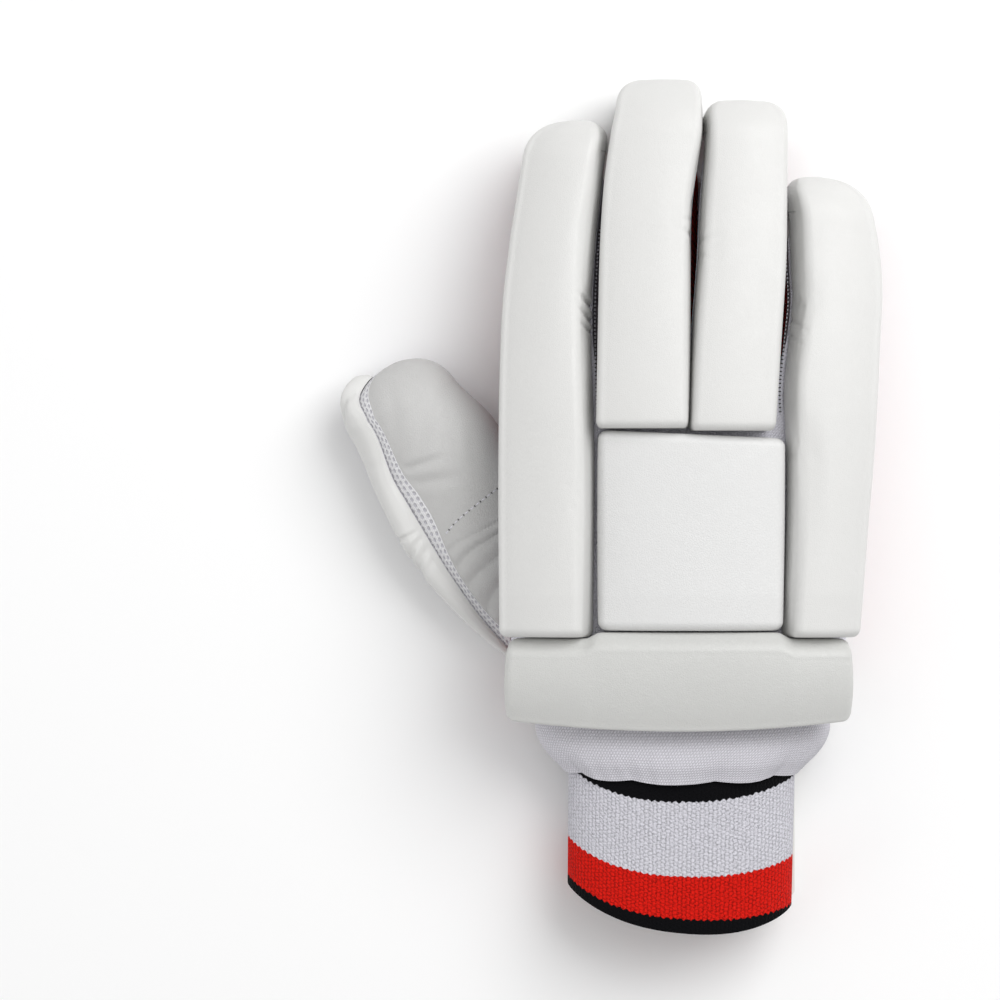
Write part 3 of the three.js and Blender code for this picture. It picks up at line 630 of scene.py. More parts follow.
def place_piece(name, skin, material, sharp=50.0):
    """Makes a skin a smooth mesh object in the frame, in metres, with its cloth places as its UV map."""
    mesh = bpy.data.meshes.new(name)
    faces = [row for part in skin.faces for row in part.tolist()]
    mesh.from_pydata(((skin.points + SHIFT) / MILLIMETRES).tolist(), [], faces)
    layer = mesh.uv_layers.new(name="UVMap")
    flat = np.concatenate([part.reshape(-1, 2) for part in skin.places])
    layer.data.foreach_set("uv", (flat / MILLIMETRES).astype(np.float32).ravel())
    mesh.polygons.foreach_set("use_smooth", np.ones(len(faces), bool))
    mesh.set_sharp_from_angle(angle=math.radians(sharp))
    mesh.materials.append(material)
    mesh.validate()
    piece = bpy.data.objects.new(name, mesh)
    bpy.context.scene.collection.objects.link(piece)
    return piece


def fit(piece, slot, *nodes):
    """Sets a piece on the frame: it rides with the glove, and stands for the solids that it replaces."""
    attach(piece, BODY)
    if nodes:
        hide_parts(*nodes)
    return piece


def add_wall(name, grids, finish, slot, node):
    outer, inner, skin = grids
    piece = fit(place_piece(name, wall_skin(outer, inner), finish), slot, node)


# Finishes


class Finish:
    """A material whose patterns are laid by short calls, on object or cloth coordinates in metres."""

    def __init__(self, name, colour, roughness, sheen=0.0, coat=0.0, shine=0.5):
        self.material = bpy.data.materials.new(name)
        self.material.use_nodes = True
        self.material.diffuse_color = (*colour, 1)
        self.nodes = self.material.node_tree.nodes
        self.links = self.material.node_tree.links
        self.shader = self.nodes["Principled BSDF"]
        self.shader.inputs["Base Color"].default_value = (*colour, 1)
        self.shader.inputs["Roughness"].default_value = roughness
        self.shader.inputs["Specular IOR Level"].default_value = shine
        self.shader.inputs["Sheen Weight"].default_value = sheen
        self.shader.inputs["Sheen Roughness"].default_value = 0.4
        self.shader.inputs["Coat Weight"].default_value = coat
        self.shader.inputs["Coat Roughness"].default_value = 0.35
        self.where = self.nodes.new("ShaderNodeTexCoord")

    def add(self, kind, inputs, **settings):
        """Adds a node, and sets or links its inputs by name or number."""
        node = self.nodes.new("ShaderNode" + kind)
        for key, value in settings.items():
            setattr(node, key, value)
        for socket, value in inputs.items():
            if isinstance(value, bpy.types.NodeSocket):
                self.links.new(value, node.inputs[socket])
            else:
                node.inputs[socket].default_value = value
        return node

    def math(self, operation, a, b=0.0, c=0.0):
        """One sum of up to three values."""
        return self.add("Math", {0: a, 1: b, 2: c}, operation=operation).outputs[0]

    def ramp(self, value, low, high, start=0.0, end=1.0):
        """A value eased from one range onto another."""
        inputs = {0: value, 1: low, 2: high, 3: start, 4: end}
        return self.add("MapRange", inputs, interpolation_type="SMOOTHSTEP").outputs[0]

    def mix(self, factor, a, b):
        """The mix of two colours."""
        node = self.add("Mix", {}, data_type="RGBA")
        for socket, value in ((0, factor), (6, a), (7, b)):
            if isinstance(value, bpy.types.NodeSocket):
                self.links.new(value, node.inputs[socket])
            else:
                node.inputs[socket].default_value = value if socket == 0 else (*value, 1)
        return node.outputs[2]

    def noise(self, scale, detail=2.0, point=None):
        """Noise of so many clouds a metre."""
        source = self.where.outputs["Object"] if point is None else point
        return self.add("TexNoise", {"Vector": source, "Scale": scale, "Detail": detail}).outputs[0]

    def colour(self, socket):
        """Links the base colour."""
        self.links.new(socket, self.shader.inputs["Base Color"])

    def rough(self, socket):
        """Links the roughness."""
        self.links.new(socket, self.shader.inputs["Roughness"])

    def bump(self, height, distance, strength=1.0):
        """Raises the surface by a height from 0 to 1, at most one distance in metres."""
        inputs = {"Height": height, "Distance": distance, "Strength": strength}
        node = self.add("Bump", inputs)
        self.links.new(node.outputs[0], self.shader.inputs["Normal"])

    def cloth(self, turn=0.0):
        """The two cloth coordinates in millimetres, turned by an angle in degrees."""
        turned = self.add(
            "Mapping",
            {
                "Vector": self.where.outputs["UV"],
                "Rotation": (0.0, 0.0, math.radians(turn)),
                "Scale": (MILLIMETRES, MILLIMETRES, 1.0),
            },
        )
        split = self.add("SeparateXYZ", {0: turned.outputs[0]})
        return split.outputs[0], split.outputs[1]

    def spots(self, u, v, pitch, size, soft=0.25):
        """1 inside staggered ovals: the column is floor(u/p), and odd columns move by half a pitch."""
        column = self.math("DIVIDE", u, pitch[0])
        number = self.math("FLOOR", column)
        x = self.math("MULTIPLY", self.math("SUBTRACT", self.math("FRACT", column), 0.5), pitch[0] / size[0])
        row = self.math("MULTIPLY_ADD", number, 0.5, self.math("DIVIDE", v, pitch[1]))
        y = self.math("MULTIPLY", self.math("SUBTRACT", self.math("FRACT", row), 0.5), pitch[1] / size[1])
        far = self.math("SQRT", self.math("ADD", self.math("MULTIPLY", x, x), self.math("MULTIPLY", y, y)))
        return self.ramp(far, 0.5 + soft, 0.5 - soft)


def shade(colour, by):
    """A colour made lighter or darker by a factor."""
    return tuple(min(c * by, 1.0) for c in colour)


LEATHERS = {
    "columns": ["name", "roughness", "grain", "depth", "cloud", "coat"],
    "rows": [
        ["pad_leather", 0.42, 1500.0, 0.00003, 0.015, 0.08],
        ["thumb_pad_leather", 0.42, 1500.0, 0.00003, 0.015, 0.08],
        ["square_leather", 0.45, 1200.0, 0.000045, 0.01, 0.05],
        ["bar_leather", 0.42, 1300.0, 0.00005, 0.02, 0.08],
        ["thumb_leather", 0.5, 1300.0, 0.00005, 0.03, 0.05],
        ["web_leather", 0.5, 1300.0, 0.00004, 0.02, 0.05],
        ["strap_leather", 0.45, 1300.0, 0.00004, 0.015, 0.08],
    ],
}
MESHES = {
    "columns": ["name", "pitch", "hole_size", "depth"],
    "rows": [
        ["red_mesh", (2.6, 3.4), (0.9, 1.9), 0.0003],
        ["white_mesh", (2.9, 3.8), (1.9, 2.2), 0.0004],
        ["trim_mesh", (1.6, 2.3), (0.75, 1.3), 0.0002],
    ],
}


def leather(name, colour, roughness, grain, depth, cloud, coat):
    """Coated leather: fine cells and pores raise the surface, and slow clouds change its tone a little."""
    f = Finish(name, colour, roughness, coat=coat)
    point = f.where.outputs["Object"]
    clouds = f.noise(30.0)
    f.colour(f.mix(clouds, shade(colour, 1 - cloud), shade(colour, 1 + cloud)))
    f.rough(f.ramp(f.noise(90.0, 3.0), 0.3, 0.7, roughness - 0.05, roughness + 0.06))
    pores = f.add("TexVoronoi", {"Vector": point, "Scale": grain}, feature="DISTANCE_TO_EDGE").outputs[0]
    lines = f.ramp(pores, 0.0, 0.16)
    height = f.math("MULTIPLY_ADD", f.noise(grain * 2.2, 3.0), 0.6, lines)
    f.bump(height, depth)
    return f.material


def creased_leather(name, colour, roughness, depth):
    """Soft leather: as coated leather, with long shallow creases of stretched noise across the fingers."""
    f = Finish(name, colour, roughness)
    point = f.where.outputs["Object"]
    stretched = f.add("Mapping", {"Vector": point, "Scale": (1.0, 3.2, 1.0)}).outputs[0]
    creases = f.ramp(f.noise(70.0, 5.0, stretched), 0.36, 0.62)
    # Painted shade in the crease valleys and painted light on their ridges, following the bump.
    f.colour(f.mix(creases, shade(colour, 0.95), shade(colour, 1.02)))
    pores = f.add("TexVoronoi", {"Vector": point, "Scale": 1500.0}, feature="DISTANCE_TO_EDGE").outputs[0]
    lines = f.ramp(pores, 0.0, 0.2)
    grain = f.math("MULTIPLY_ADD", f.noise(2600.0, 3.0), 0.5, lines)
    f.bump(f.math("MULTIPLY_ADD", creases, 4.0, grain), depth)
    return f.material


def open_mesh(name, colour, hole, pitch, size, depth):
    """Knitted mesh: staggered ovals, pressed deep and painted in shade, between fine rows of loops."""
    f = Finish(name, colour, 0.8, sheen=0.04, shine=0.15)
    u, v = f.cloth()
    holes = f.spots(u, v, pitch, size)
    loops = f.spots(u, v, (pitch[0] / 3, pitch[1] / 4), (pitch[0] / 3.4, pitch[1] / 4.6), 0.45)
    tone = f.mix(loops, shade(colour, 0.72), shade(colour, 1.08))
    # The holes are not cut through: their colour is painted shade.
    f.colour(f.mix(holes, tone, hole))
    height = f.math("MULTIPLY_ADD", holes, -2.6, f.math("MULTIPLY", loops, 0.8))
    f.bump(height, depth)
    return f.material


def striped_tape(name, white, black, width, edge):
    """Elastic tape: white ribs with black edges whose border zigzags, edge plus a small triangle wave."""
    f = Finish(name, white, 0.75, sheen=0.04, shine=0.15)
    u, v = f.cloth()
    teeth = f.math("PINGPONG", u, 0.6)
    border = f.math("MULTIPLY_ADD", teeth, 0.45, edge)
    near = f.math("MINIMUM", v, f.math("SUBTRACT", width, v))
    dark = f.ramp(f.math("SUBTRACT", near, border), 0.12, -0.12)
    ribs = f.math("SINE", f.math("MULTIPLY", v, 2 * math.pi / 0.9))
    knots = f.spots(u, v, (0.7, 0.9), (0.62, 0.8), 0.4)
    tone = f.mix(knots, shade(white, 0.84), shade(white, 1.04))
    f.colour(f.mix(dark, tone, black))
    f.bump(f.math("MULTIPLY_ADD", ribs, 0.35, knots), 0.00012)
    return f.material


def woven(name, colour, light, turn=38.0):
    """Cloth with a diagonal weave of raised dashes."""
    f = Finish(name, colour, 0.85, sheen=0.08, shine=0.2)
    u, v = f.cloth(turn)
    dashes = f.spots(u, v, (0.8, 1.3), (0.5, 0.95), 0.4)
    f.colour(f.mix(dashes, colour, light))
    fibres = f.noise(3200.0, 3.0)
    f.bump(f.math("MULTIPLY_ADD", fibres, 0.3, dashes), 0.0002)
    return f.material


def twill(name, colour):
    """Plain woven binding: fine ribs at a slant with fibres between them."""
    f = Finish(name, colour, 0.85, sheen=0.25)
    u, v = f.cloth(30.0)
    knots = f.spots(u, v, (0.6, 0.8), (0.55, 0.7), 0.35)
    f.colour(f.mix(knots, shade(colour, 0.82), shade(colour, 1.05)))
    f.bump(knots, 0.00014)
    return f.material


def striped_knit(name, colours, borders):
    """Thick knit in black, white, red and black: each border is a height plus teeth of a triangle wave."""
    f = Finish(name, colours.cloth, 0.95, sheen=0.03, shine=0.08)
    u, v = f.cloth()
    teeth = f.math("PINGPONG", u, 1.15)
    rough_edge = f.noise(900.0, 2.0)
    wander = f.math("MULTIPLY_ADD", rough_edge, 1.0, f.math("MULTIPLY", teeth, 0.5))
    place = f.math("SUBTRACT", v, wander)
    strayed = f.math("MULTIPLY_ADD", f.noise(600.0, 3.0), 1.6, u)
    lifted = f.math("MULTIPLY_ADD", f.noise(750.0, 3.0), 1.3, v)
    loops = f.spots(strayed, lifted, (1.45, 1.25), (1.25, 1.15), 0.45)
    fuzz = f.noise(1900.0, 4.0)
    thick = f.math("MULTIPLY_ADD", fuzz, 1.3, f.math("MULTIPLY", loops, 0.7))
    raised = f.ramp(thick, 0.45, 1.35)
    white = f.mix(raised, shade(colours.cloth, 0.58), shade(colours.cloth, 1.06))
    red = f.mix(raised, shade(colours.red, 0.45), shade(colours.red, 1.3))
    result = colours.black
    for border, tone in zip(borders, (white, red, colours.black)):
        past = f.ramp(f.math("SUBTRACT", place, border), -0.12, 0.12)
        result = f.mix(past, result, tone)
    f.colour(result)
    f.bump(thick, 0.0006)
    return f.material


def hook_cloth(name, colour):
    """Hook cloth: rows of tiny stubs."""
    f = Finish(name, colour, 0.9, sheen=0.3)
    u, v = f.cloth()
    stubs = f.spots(u, v, (0.8, 0.9), (0.5, 0.5), 0.3)
    f.colour(f.mix(stubs, shade(colour, 0.75), shade(colour, 1.06)))
    f.bump(f.math("MULTIPLY_ADD", f.noise(2500.0, 3.0), 0.4, stubs), 0.0004)
    return f.material


def thread(name, colour):
    """Sewing thread: fine twisted strands."""
    f = Finish(name, colour, 0.6, sheen=0.3)
    strands = f.noise(4200.0, 2.0)
    f.colour(f.mix(strands, shade(colour, 0.85), shade(colour, 1.05)))
    f.bump(strands, 0.00008)
    return f.material


def material(name, make, *settings):
    """A finish by its name, made at its first use. The prefix keeps it apart from the frame's slots."""
    name = "finish_" + name
    return bpy.data.materials.get(name) or make(name, *settings)


def row_of(table, name):
    """What a table says of one name."""
    return next(row[1:] for row in table["rows"] if row[0] == name)


def leather_of(name, colour):
    """One of the leathers in a colour."""
    return material(name, leather, colour, *row_of(LEATHERS, name))


def mesh_of(name, colour, hole):
    """One of the meshes in a colour, with the painted shade of its holes."""
    return material(name, open_mesh, colour, hole, *row_of(MESHES, name))


# The hand's own surfaces


def back_z(x, y):
    """Height of the back: its middle height, less a bend past the knuckles to the power 1.4, a slow
    fall to the cuff and a parabola across."""
    bend = np.clip((y - KNUCKLE_LINE) / (FINGER_REACH - KNUCKLE_LINE), 0, 1.2) ** 1.4
    cuff = np.clip((-y - KNUCKLE_LINE) / (BAND_START - KNUCKLE_LINE), 0, 1)
    return BACK_HEIGHT - BACK_DROP * bend - CUFF_DROP * cuff - ARCH_DROP * (x / HAND_HALF) ** 2


def back_slope(x):
    """How steeply the back falls across."""
    return 2 * ARCH_DROP * x / HAND_HALF**2


PALM_PROFILE = {
    "columns": ["along", "lift"],
    "rows": [
        [-1, 0.4],
        [-0.75, 0.72],
        [-0.4, 0.95],
        [0, 1],
        [0.35, 1],
        [0.6, 0.8],
        [0.82, 0.5],
        [1, 0.42],
    ],
}
BULGE = {"x": -0.65, "y": -0.28, "wide": 0.52, "long": 0.65}


def palm_z(x, y):
    """Height of the palm's underside: a profile along the hand and a bell curve over the thumb's root."""
    lift = read(PALM_PROFILE, "lift", np.where(y > 0, y / FINGER_REACH, y / BAND_START))
    across = (x / HAND_HALF - BULGE["x"]) / BULGE["wide"]
    along = (y / HAND_HALF - BULGE["y"]) / BULGE["long"]
    return PALM_HEIGHT * lift + THUMB_BULGE * np.exp(-(across**2) - along**2)


def finger(name, base, tip, cap, band, corners, palm, side, outline):
    """One finger: lengths in millimetres, palm as its centre and half width, side as its outer side and
    how far its wall draws in there."""
    rows = {"columns": ["along", "centre", "width"], "rows": outline}
    palm_tip = tip - cap - band
    return {
        "name": name,
        "base": base,
        "tip": tip,
        "band": band,
        "corners": corners,
        "palm": palm,
        "side": side[0],
        "inward": side[1],
        "outline": rows,
        "palm_tip": palm_tip,
        "nose": palm_tip + band + STRIP_WALL / 2 + 2 * SEAM_GAP,
    }


FINGERS = [
    finger(
        "index",
        base=PAD_BASE,
        tip=0.9007 * FINGER_REACH,
        cap=12,
        band=7.5,
        corners=(13, 9),
        palm=(-0.617, 0.465),
        side=(-1, 8),
        outline=[
            [0, -0.76, 1.05],
            [0.34, -0.759, 1.075],
            [0.62, -0.758, 1.0],
            [0.77, -0.725, 0.955],
            [0.87, -0.688, 0.935],
            [1, -0.64, 0.92],
        ],
    ),
    finger(
        "middle",
        base=SQUARE_TOP + 0.5,
        tip=FINGER_REACH,
        cap=17,
        band=7,
        corners=(10, 8),
        palm=(-0.151, 0.394),
        side=(0, 0),
        outline=[
            [0, -0.261, 1.044],
            [0.472, -0.2485, 1.012],
            [0.617, -0.239, 0.995],
            [0.725, -0.2175, 1.01],
            [0.837, -0.1845, 1.02],
            [0.91, -0.172, 0.965],
            [1, -0.17, 0.95],
        ],
    ),
    finger(
        "ring",
        base=SQUARE_TOP - 0.3,
        tip=0.947 * FINGER_REACH,
        cap=12.5,
        band=9.5,
        corners=(7, 9),
        palm=(0.277, 0.362),
        side=(0, 0),
        outline=[
            [0, 0.1955, 0.95],
            [0.277, 0.2235, 0.97],
            [0.507, 0.2535, 0.96],
            [0.662, 0.2645, 0.943],
            [0.816, 0.276, 0.91],
            [1, 0.285, 0.9],
        ],
    ),
    finger(
        "little",
        base=PAD_BASE,
        tip=0.768 * FINGER_REACH,
        cap=13.5,
        band=4,
        corners=(8, 12),
        palm=(0.683, 0.381),
        side=(1, 5.5),
        outline=[
            [0, 0.662, 0.86],
            [0.192, 0.69, 0.89],
            [0.383, 0.713, 0.955],
            [0.533, 0.717, 1.035],
            [0.645, 0.737, 1.007],
            [0.728, 0.753, 0.99],
            [0.811, 0.746, 0.993],
            [0.911, 0.724, 0.932],
            [1, 0.685, 0.86],
        ],
    ),
]


# Pads

EDGE_RADIUS = 2.7
FOOT_RADIUS = 1.4
TOP_STEPS = 22
SIDE_STEPS = 10
FLOOR_STEPS = 30
TURN_STEPS = 8


def section():
    """A rounded rectangle's section as four rows: the corner that a point belongs to, across and up from
    -1 to 1, and its place on that corner's circle. A point lies at corner (half - r) + circle r."""
    rows = []
    sides = [((1, -1), (1, 1)), ((1, 1), (-1, 1)), ((-1, 1), (-1, -1)), ((-1, -1), (1, -1))]
    steps = (SIDE_STEPS, TOP_STEPS, SIDE_STEPS, FLOOR_STEPS)
    for turn, ((start, end), count) in enumerate(zip(sides, steps)):
        t = np.linspace(0, 1, count, endpoint=False)[:, None]
        facing = np.array([math.cos(turn * math.pi / 2), math.sin(turn * math.pi / 2)]).round()
        rows.append(np.hstack([lerp(np.array(start), np.array(end), t), np.tile(facing, (count, 1))]))
        angle = (turn + np.linspace(0, 1, TURN_STEPS, endpoint=False)) * np.pi / 2
        corner = np.tile(end, (TURN_STEPS, 1))
        rows.append(np.hstack([corner, np.column_stack([np.cos(angle), np.sin(angle)])]))
    return np.vstack(rows).T[:, None, :]


def pad_frame(f, y):
    """Centre, half width and lean of a pad at places along it. The part of the width that shows only
    because the pad leans, its thickness times the sine of its lean, is taken off."""
    along = (y - f["base"]) / (f["tip"] - f["base"])
    seen = HAND_HALF * read(f["outline"], "centre", along)
    width = STALL_PITCH * read(f["outline"], "width", along)
    lean = np.arctan(back_slope(seen))
    overhang = PAD_THICKNESS * np.sin(lean)
    return seen - overhang / 2, (width - np.abs(overhang)) / 2, lean


def rounded(half, low, high, corner, edge=EDGE_RADIUS):
    """Places on a rounded rectangle between two heights, as far across and as high. The radius is large
    at the top and small at the foot, and never more than half of the rectangle's height."""
    across, up, turn_across, turn_up = corner
    most = np.maximum(np.minimum((high - low) / 2, half), 0.01)
    radius = np.minimum(np.where(up + turn_up > 0, edge, FOOT_RADIUS), 0.98 * most)
    level = lerp(low + radius, high - radius, (up + 1) / 2) + turn_up * radius
    return across * (half - radius) + turn_across * radius, level


def pad_grid(centre, half, lean, y, thickness, cut, floor=None):
    """Rings of a pad. Across, a ring is a rounded rectangle between the back and the pad's crowned top; it
    leans with the back's arch, and cut takes the roundness of an end off each side."""
    corner = section()
    across = corner[0]
    centre, half, lean, y = (np.asarray(v, float).reshape(-1, 1) for v in (centre, half, lean, y))
    left, right, top, bottom = (np.asarray(v, float).reshape(-1, 1) for v in cut)
    reach = half - np.where(across + corner[2] < 0, left, right)
    rough = across * reach
    base = back_z(centre, y) - rough * np.tan(lean)
    low = base if floor is None else np.where(np.reshape(floor, (-1, 1)), 0.0, base)
    high = base + thickness + PAD_CROWN * (1 - across**2) - top
    a, z = rounded(reach, low + bottom, high, corner)
    return xyz(centre + a + np.maximum(z - base, 0) * np.tan(lean), y, z)


def finger_pad_grid(f):
    """A finger's roll: rounded at its base, and turned down at its tip into a cap that reaches the floor."""
    base_steps = (1 - np.cos(np.linspace(0.08, 0.5 * np.pi, 10))) * PAD_EDGE
    plain = np.linspace(f["base"] + PAD_EDGE, f["nose"], int((f["nose"] - f["base"]) / RING_STEP))[1:]
    reach = f["tip"] - f["nose"]
    nose = (reach - SEAM_GAP) * np.linspace(1, 0.06, 34) ** 1.8
    y = np.r_[f["base"] + base_steps, plain, f["tip"] - nose]
    near = np.r_[base_steps, np.full(len(plain) + len(nose), PAD_EDGE)]
    far = f["tip"] - y
    cap = y > f["nose"]
    start = round_off(near, PAD_EDGE, 2)
    left = start / 2 + round_off(far, f["corners"][0])
    right = start / 2 + round_off(far, f["corners"][1])
    top = start + round_off(far, 1.35 * reach)
    bottom = start / 4 + np.where(cap, round_off(far, 0.9 * reach), 0)
    centre, half, lean = pad_frame(f, y)
    grid = pad_grid(centre, half, lean, y, PAD_THICKNESS, (left, right, top, bottom), cap)
    return cap_pleats(f, grid, centre, half)


def cap_pleats(f, grid, centre, half):
    """Gathers on the palm side of a cap: narrow valleys where a sine of the place across is near nothing.
    They are deepest at the seam and fade towards the fingertip."""
    share = (grid[..., 0] - centre[:, None]) / half[:, None]
    y, z = grid[..., 1], grid[..., 2]
    wave = (1 - np.abs(np.sin(5.0 * share + 1.4 * np.sin(2.3 * share + f["tip"])))) ** 1.8
    low = 1 - smoothstep(z, 4.0, 16.0)
    near = smoothstep(y, f["nose"], f["nose"] + 0.6) * (1 - 0.7 * smoothstep(y, f["nose"] + 1, f["tip"]))
    grid[..., 2] += PLEAT_DEPTH * wave * low * near
    grid[..., 1] -= PLEAT_DEPTH * wave * low * smoothstep(y, f["tip"] - 6, f["tip"])
    return grid


SQUARE_SKEW = 0.045
SQUARE_TAPER = 0.7


def square_pad_grid():
    """The square pad: a rounded box laid over the back's arch. Its upper edge falls a little to the right,
    and it narrows a little on the right towards the cuff."""
    middle = (SQUARE_RIGHT - SQUARE_LEFT) / 2
    half = (SQUARE_RIGHT + SQUARE_LEFT) / 2
    end = (1 - np.cos(np.linspace(0.08, 0.5 * np.pi, 14))) * SQUARE_CORNER
    between = np.linspace(SQUARE_CORNER - SQUARE_BOTTOM, SQUARE_TOP - SQUARE_CORNER, 72)[1:-1]
    y = np.r_[end - SQUARE_BOTTOM, between, (SQUARE_TOP - end)[::-1]]
    distance = np.minimum(y + SQUARE_BOTTOM, SQUARE_TOP - y)
    corner = round_off(distance, SQUARE_CORNER, 2)
    centre = np.full(len(y), middle)
    cut = (corner, corner, corner, corner / 4)
    grid = pad_grid(centre, np.full(len(y), half), np.zeros(len(y)), y, SQUARE_THICKNESS, cut)
    x = np.clip(grid[..., 0], -half, half)
    grid[..., 2] += ARCH_DROP * ((middle / HAND_HALF) ** 2 - (x / HAND_HALF) ** 2)
    up = (grid[..., 1] + SQUARE_BOTTOM) / (SQUARE_TOP + SQUARE_BOTTOM)
    grid[..., 1] -= SQUARE_SKEW * (x + half) * up
    grid[..., 0] -= SQUARE_TAPER * (1 - up) * np.clip(x / half, 0, 1)
    return grid


BAR_TILT = 0.19
BAR_RISE = {"left": (-34.5, -29.5), "right": (26.5, 31.5)}


def cuff_bar_grid():
    """The bar across the cuff, lofted from side to side. Its lower edge bows, its upper edge rises to the
    square pad, its broad face tilts towards the wrist, and its upper wall slopes back above a shoulder."""
    length = BAR_LEFT + BAR_RIGHT
    end = (1 - np.cos(np.linspace(0.08, 0.5 * np.pi, 12))) * BAR_CORNER
    between = np.linspace(BAR_CORNER - BAR_LEFT, BAR_RIGHT - BAR_CORNER, 110)[1:-1]
    x = np.r_[end - BAR_LEFT, between, (BAR_RIGHT - end)[::-1]].reshape(-1, 1)
    off = round_off(np.minimum(x + BAR_LEFT, BAR_RIGHT - x), BAR_CORNER, 2)
    share = (x - (BAR_RIGHT - BAR_LEFT) / 2) / (length / 2)
    low = -BAR_TOP - BAR_WIDTH - BAR_BOW * (1 - share**2)
    rise = smoothstep(x, *BAR_RISE["left"]) * (1 - smoothstep(x, *BAR_RISE["right"]))
    high = (BAR_TOP - SQUARE_BOTTOM - BAR_GAP) * rise - BAR_TOP
    middle = (low + high) / 2
    half = (high - low) / 2 - off
    corner = section()
    crown = PAD_CROWN * (1 - corner[0] ** 2)
    across, h = rounded(half, off / 4, BAR_THICKNESS + crown - off, corner, BAR_EDGE)
    level = np.clip(h / BAR_THICKNESS, 0, 1)
    sloped = np.clip((level - BAR_SHOULDER) / (1 - BAR_SHOULDER), 0, 1)
    lean = BAR_LEAN * lerp(level, sloped, (1 + across / half) / 2)
    y = middle + across
    z = back_z(x, y) + h - BAR_TILT * (half - across) * level**2
    return xyz(x + h * back_slope(x), y - lean, z)


def held_share(grid):
    """1 on the underside of a pad, where it is sewn down, and 0 on its sides and top."""
    z = grid[..., 2]
    low = z.min(axis=1, keepdims=True)
    high = z.max(axis=1, keepdims=True)
    return 1 - smoothstep(z, low + 1.0, low + 0.25 * (high - low) + 1.0)


PAD_PRESSURE = 4.0
SWELL_FRAMES = 20


def swollen(grid, swell):
    """The grid of a pad after cloth under pressure has filled it. Every second row and column is cloth,
    its underside is pinned, and the way each point moved, at most one swell, is spread over the grid."""
    rows = np.unique(np.r_[0 : grid.shape[0] : 2, grid.shape[0] - 1])
    coarse = grid[rows][:, ::2]
    skin = loft_skin(coarse)
    cover = place_piece("cover", skin, None)
    pins = cover.vertex_groups.new(name="sewn")
    weights = np.r_[held_share(coarse).ravel(), 0.0, 0.0]
    for level in np.unique(np.round(weights, 1)):
        chosen = np.flatnonzero(np.round(weights, 1) == level)
        pins.add(chosen.tolist(), float(level), "REPLACE")
    cloth = cover.modifiers.new("Fill", "CLOTH").settings
    cloth.quality = 6
    cloth.mass = 0.2
    cloth.tension_stiffness = 25
    cloth.compression_stiffness = 25
    cloth.shear_stiffness = 12
    cloth.bending_stiffness = 1.5
    cloth.use_pressure = True
    cloth.uniform_pressure_force = PAD_PRESSURE
    cloth.effector_weights.gravity = 0
    cloth.vertex_group_mass = pins.name
    scene = bpy.context.scene
    for step in range(1, SWELL_FRAMES + 1):
        scene.frame_set(step)
    evaluated = cover.evaluated_get(bpy.context.evaluated_depsgraph_get())
    after = np.zeros(len(skin.points) * 3, np.float32)
    evaluated.data.vertices.foreach_get("co", after)
    moved = after.reshape(-1, 3) * MILLIMETRES - SHIFT - skin.points
    scene.frame_set(1)
    bpy.data.objects.remove(cover)
    moved = moved[: coarse.shape[0] * coarse.shape[1]].reshape(coarse.shape)
    size = np.linalg.norm(moved, axis=2, keepdims=True)
    moved *= np.minimum(1, swell / np.maximum(size, 1e-9)) * (1 - held_share(coarse))[..., None]
    return grid + spread_out(moved, rows, grid.shape)


def spread_out(moved, rows, shape):
    """Moves known on some rows and every second column, mixed in straight lines onto the whole grid."""
    closed = np.concatenate([moved, moved[:, :1]], axis=1)
    wide = np.empty((len(rows), shape[1], 3))
    wide[:, ::2] = moved
    wide[:, 1::2] = (closed[:, :-1] + closed[:, 1:])[:, : shape[1] // 2] / 2
    at = np.arange(shape[0])
    above = np.clip(np.searchsorted(rows, at, side="right") - 1, 0, len(rows) - 2)
    t = ((at - rows[above]) / (rows[above + 1] - rows[above]))[:, None, None]
    return lerp(wide[above], wide[above + 1], t)


def add_pad(name, grid, finish, shape):
    """Makes one filled pad from its grid."""
    grid = swollen(grid, shape.pad_swell * MILLIMETRES)
    piece = place_piece(name, loft_skin(grid), finish)
    return piece


WRINKLES = {
    "columns": ["finger", "along", "side", "slope", "width", "depth"],
    "rows": [
        ["index", 67.0, 1, 0.9, 1.2, 1.5],
        ["index", 62.0, 1, 1.0, 1.1, 1.4],
        ["index", 58.2, 1, 0.8, 0.9, 1.1],
        ["middle", 91.0, 1, 0.3, 1.0, 0.5],
        ["middle", 96.5, 1, -0.3, 0.8, 0.4],
        ["ring", 89.0, -1, 0.2, 1.2, 0.5],
        ["ring", 84.0, -1, -0.4, 0.9, 0.3],
        ["little", 62.5, -1, -0.8, 1.0, 0.7],
        ["little", 57.5, -1, -0.9, 0.8, 0.5],
    ],
}


def pad_wrinkles(grid, finger_name):
    """Presses the small folds of a finger into its pad's side. Each fades from the side towards the top."""
    x, y = grid[..., 0], grid[..., 1]
    middle = (x.min(axis=1, keepdims=True) + x.max(axis=1, keepdims=True)) / 2
    half = (x.max(axis=1, keepdims=True) - x.min(axis=1, keepdims=True)) / 2
    share = (x - middle) / half
    for name, at, side, slope, width, depth in WRINKLES["rows"]:
        if name != finger_name:
            continue
        near = smoothstep(share * side, 0.62, 0.95)
        distance = y - at - slope * (1 - np.abs(share)) * half
        grid[..., 0] -= side * depth * near * fold(distance, width)
        grid[..., 2] -= depth * 0.7 * near * fold(distance, width)
    return grid


# Stall walls

LEG_STEP = 1.5
ARC_STEPS = 56


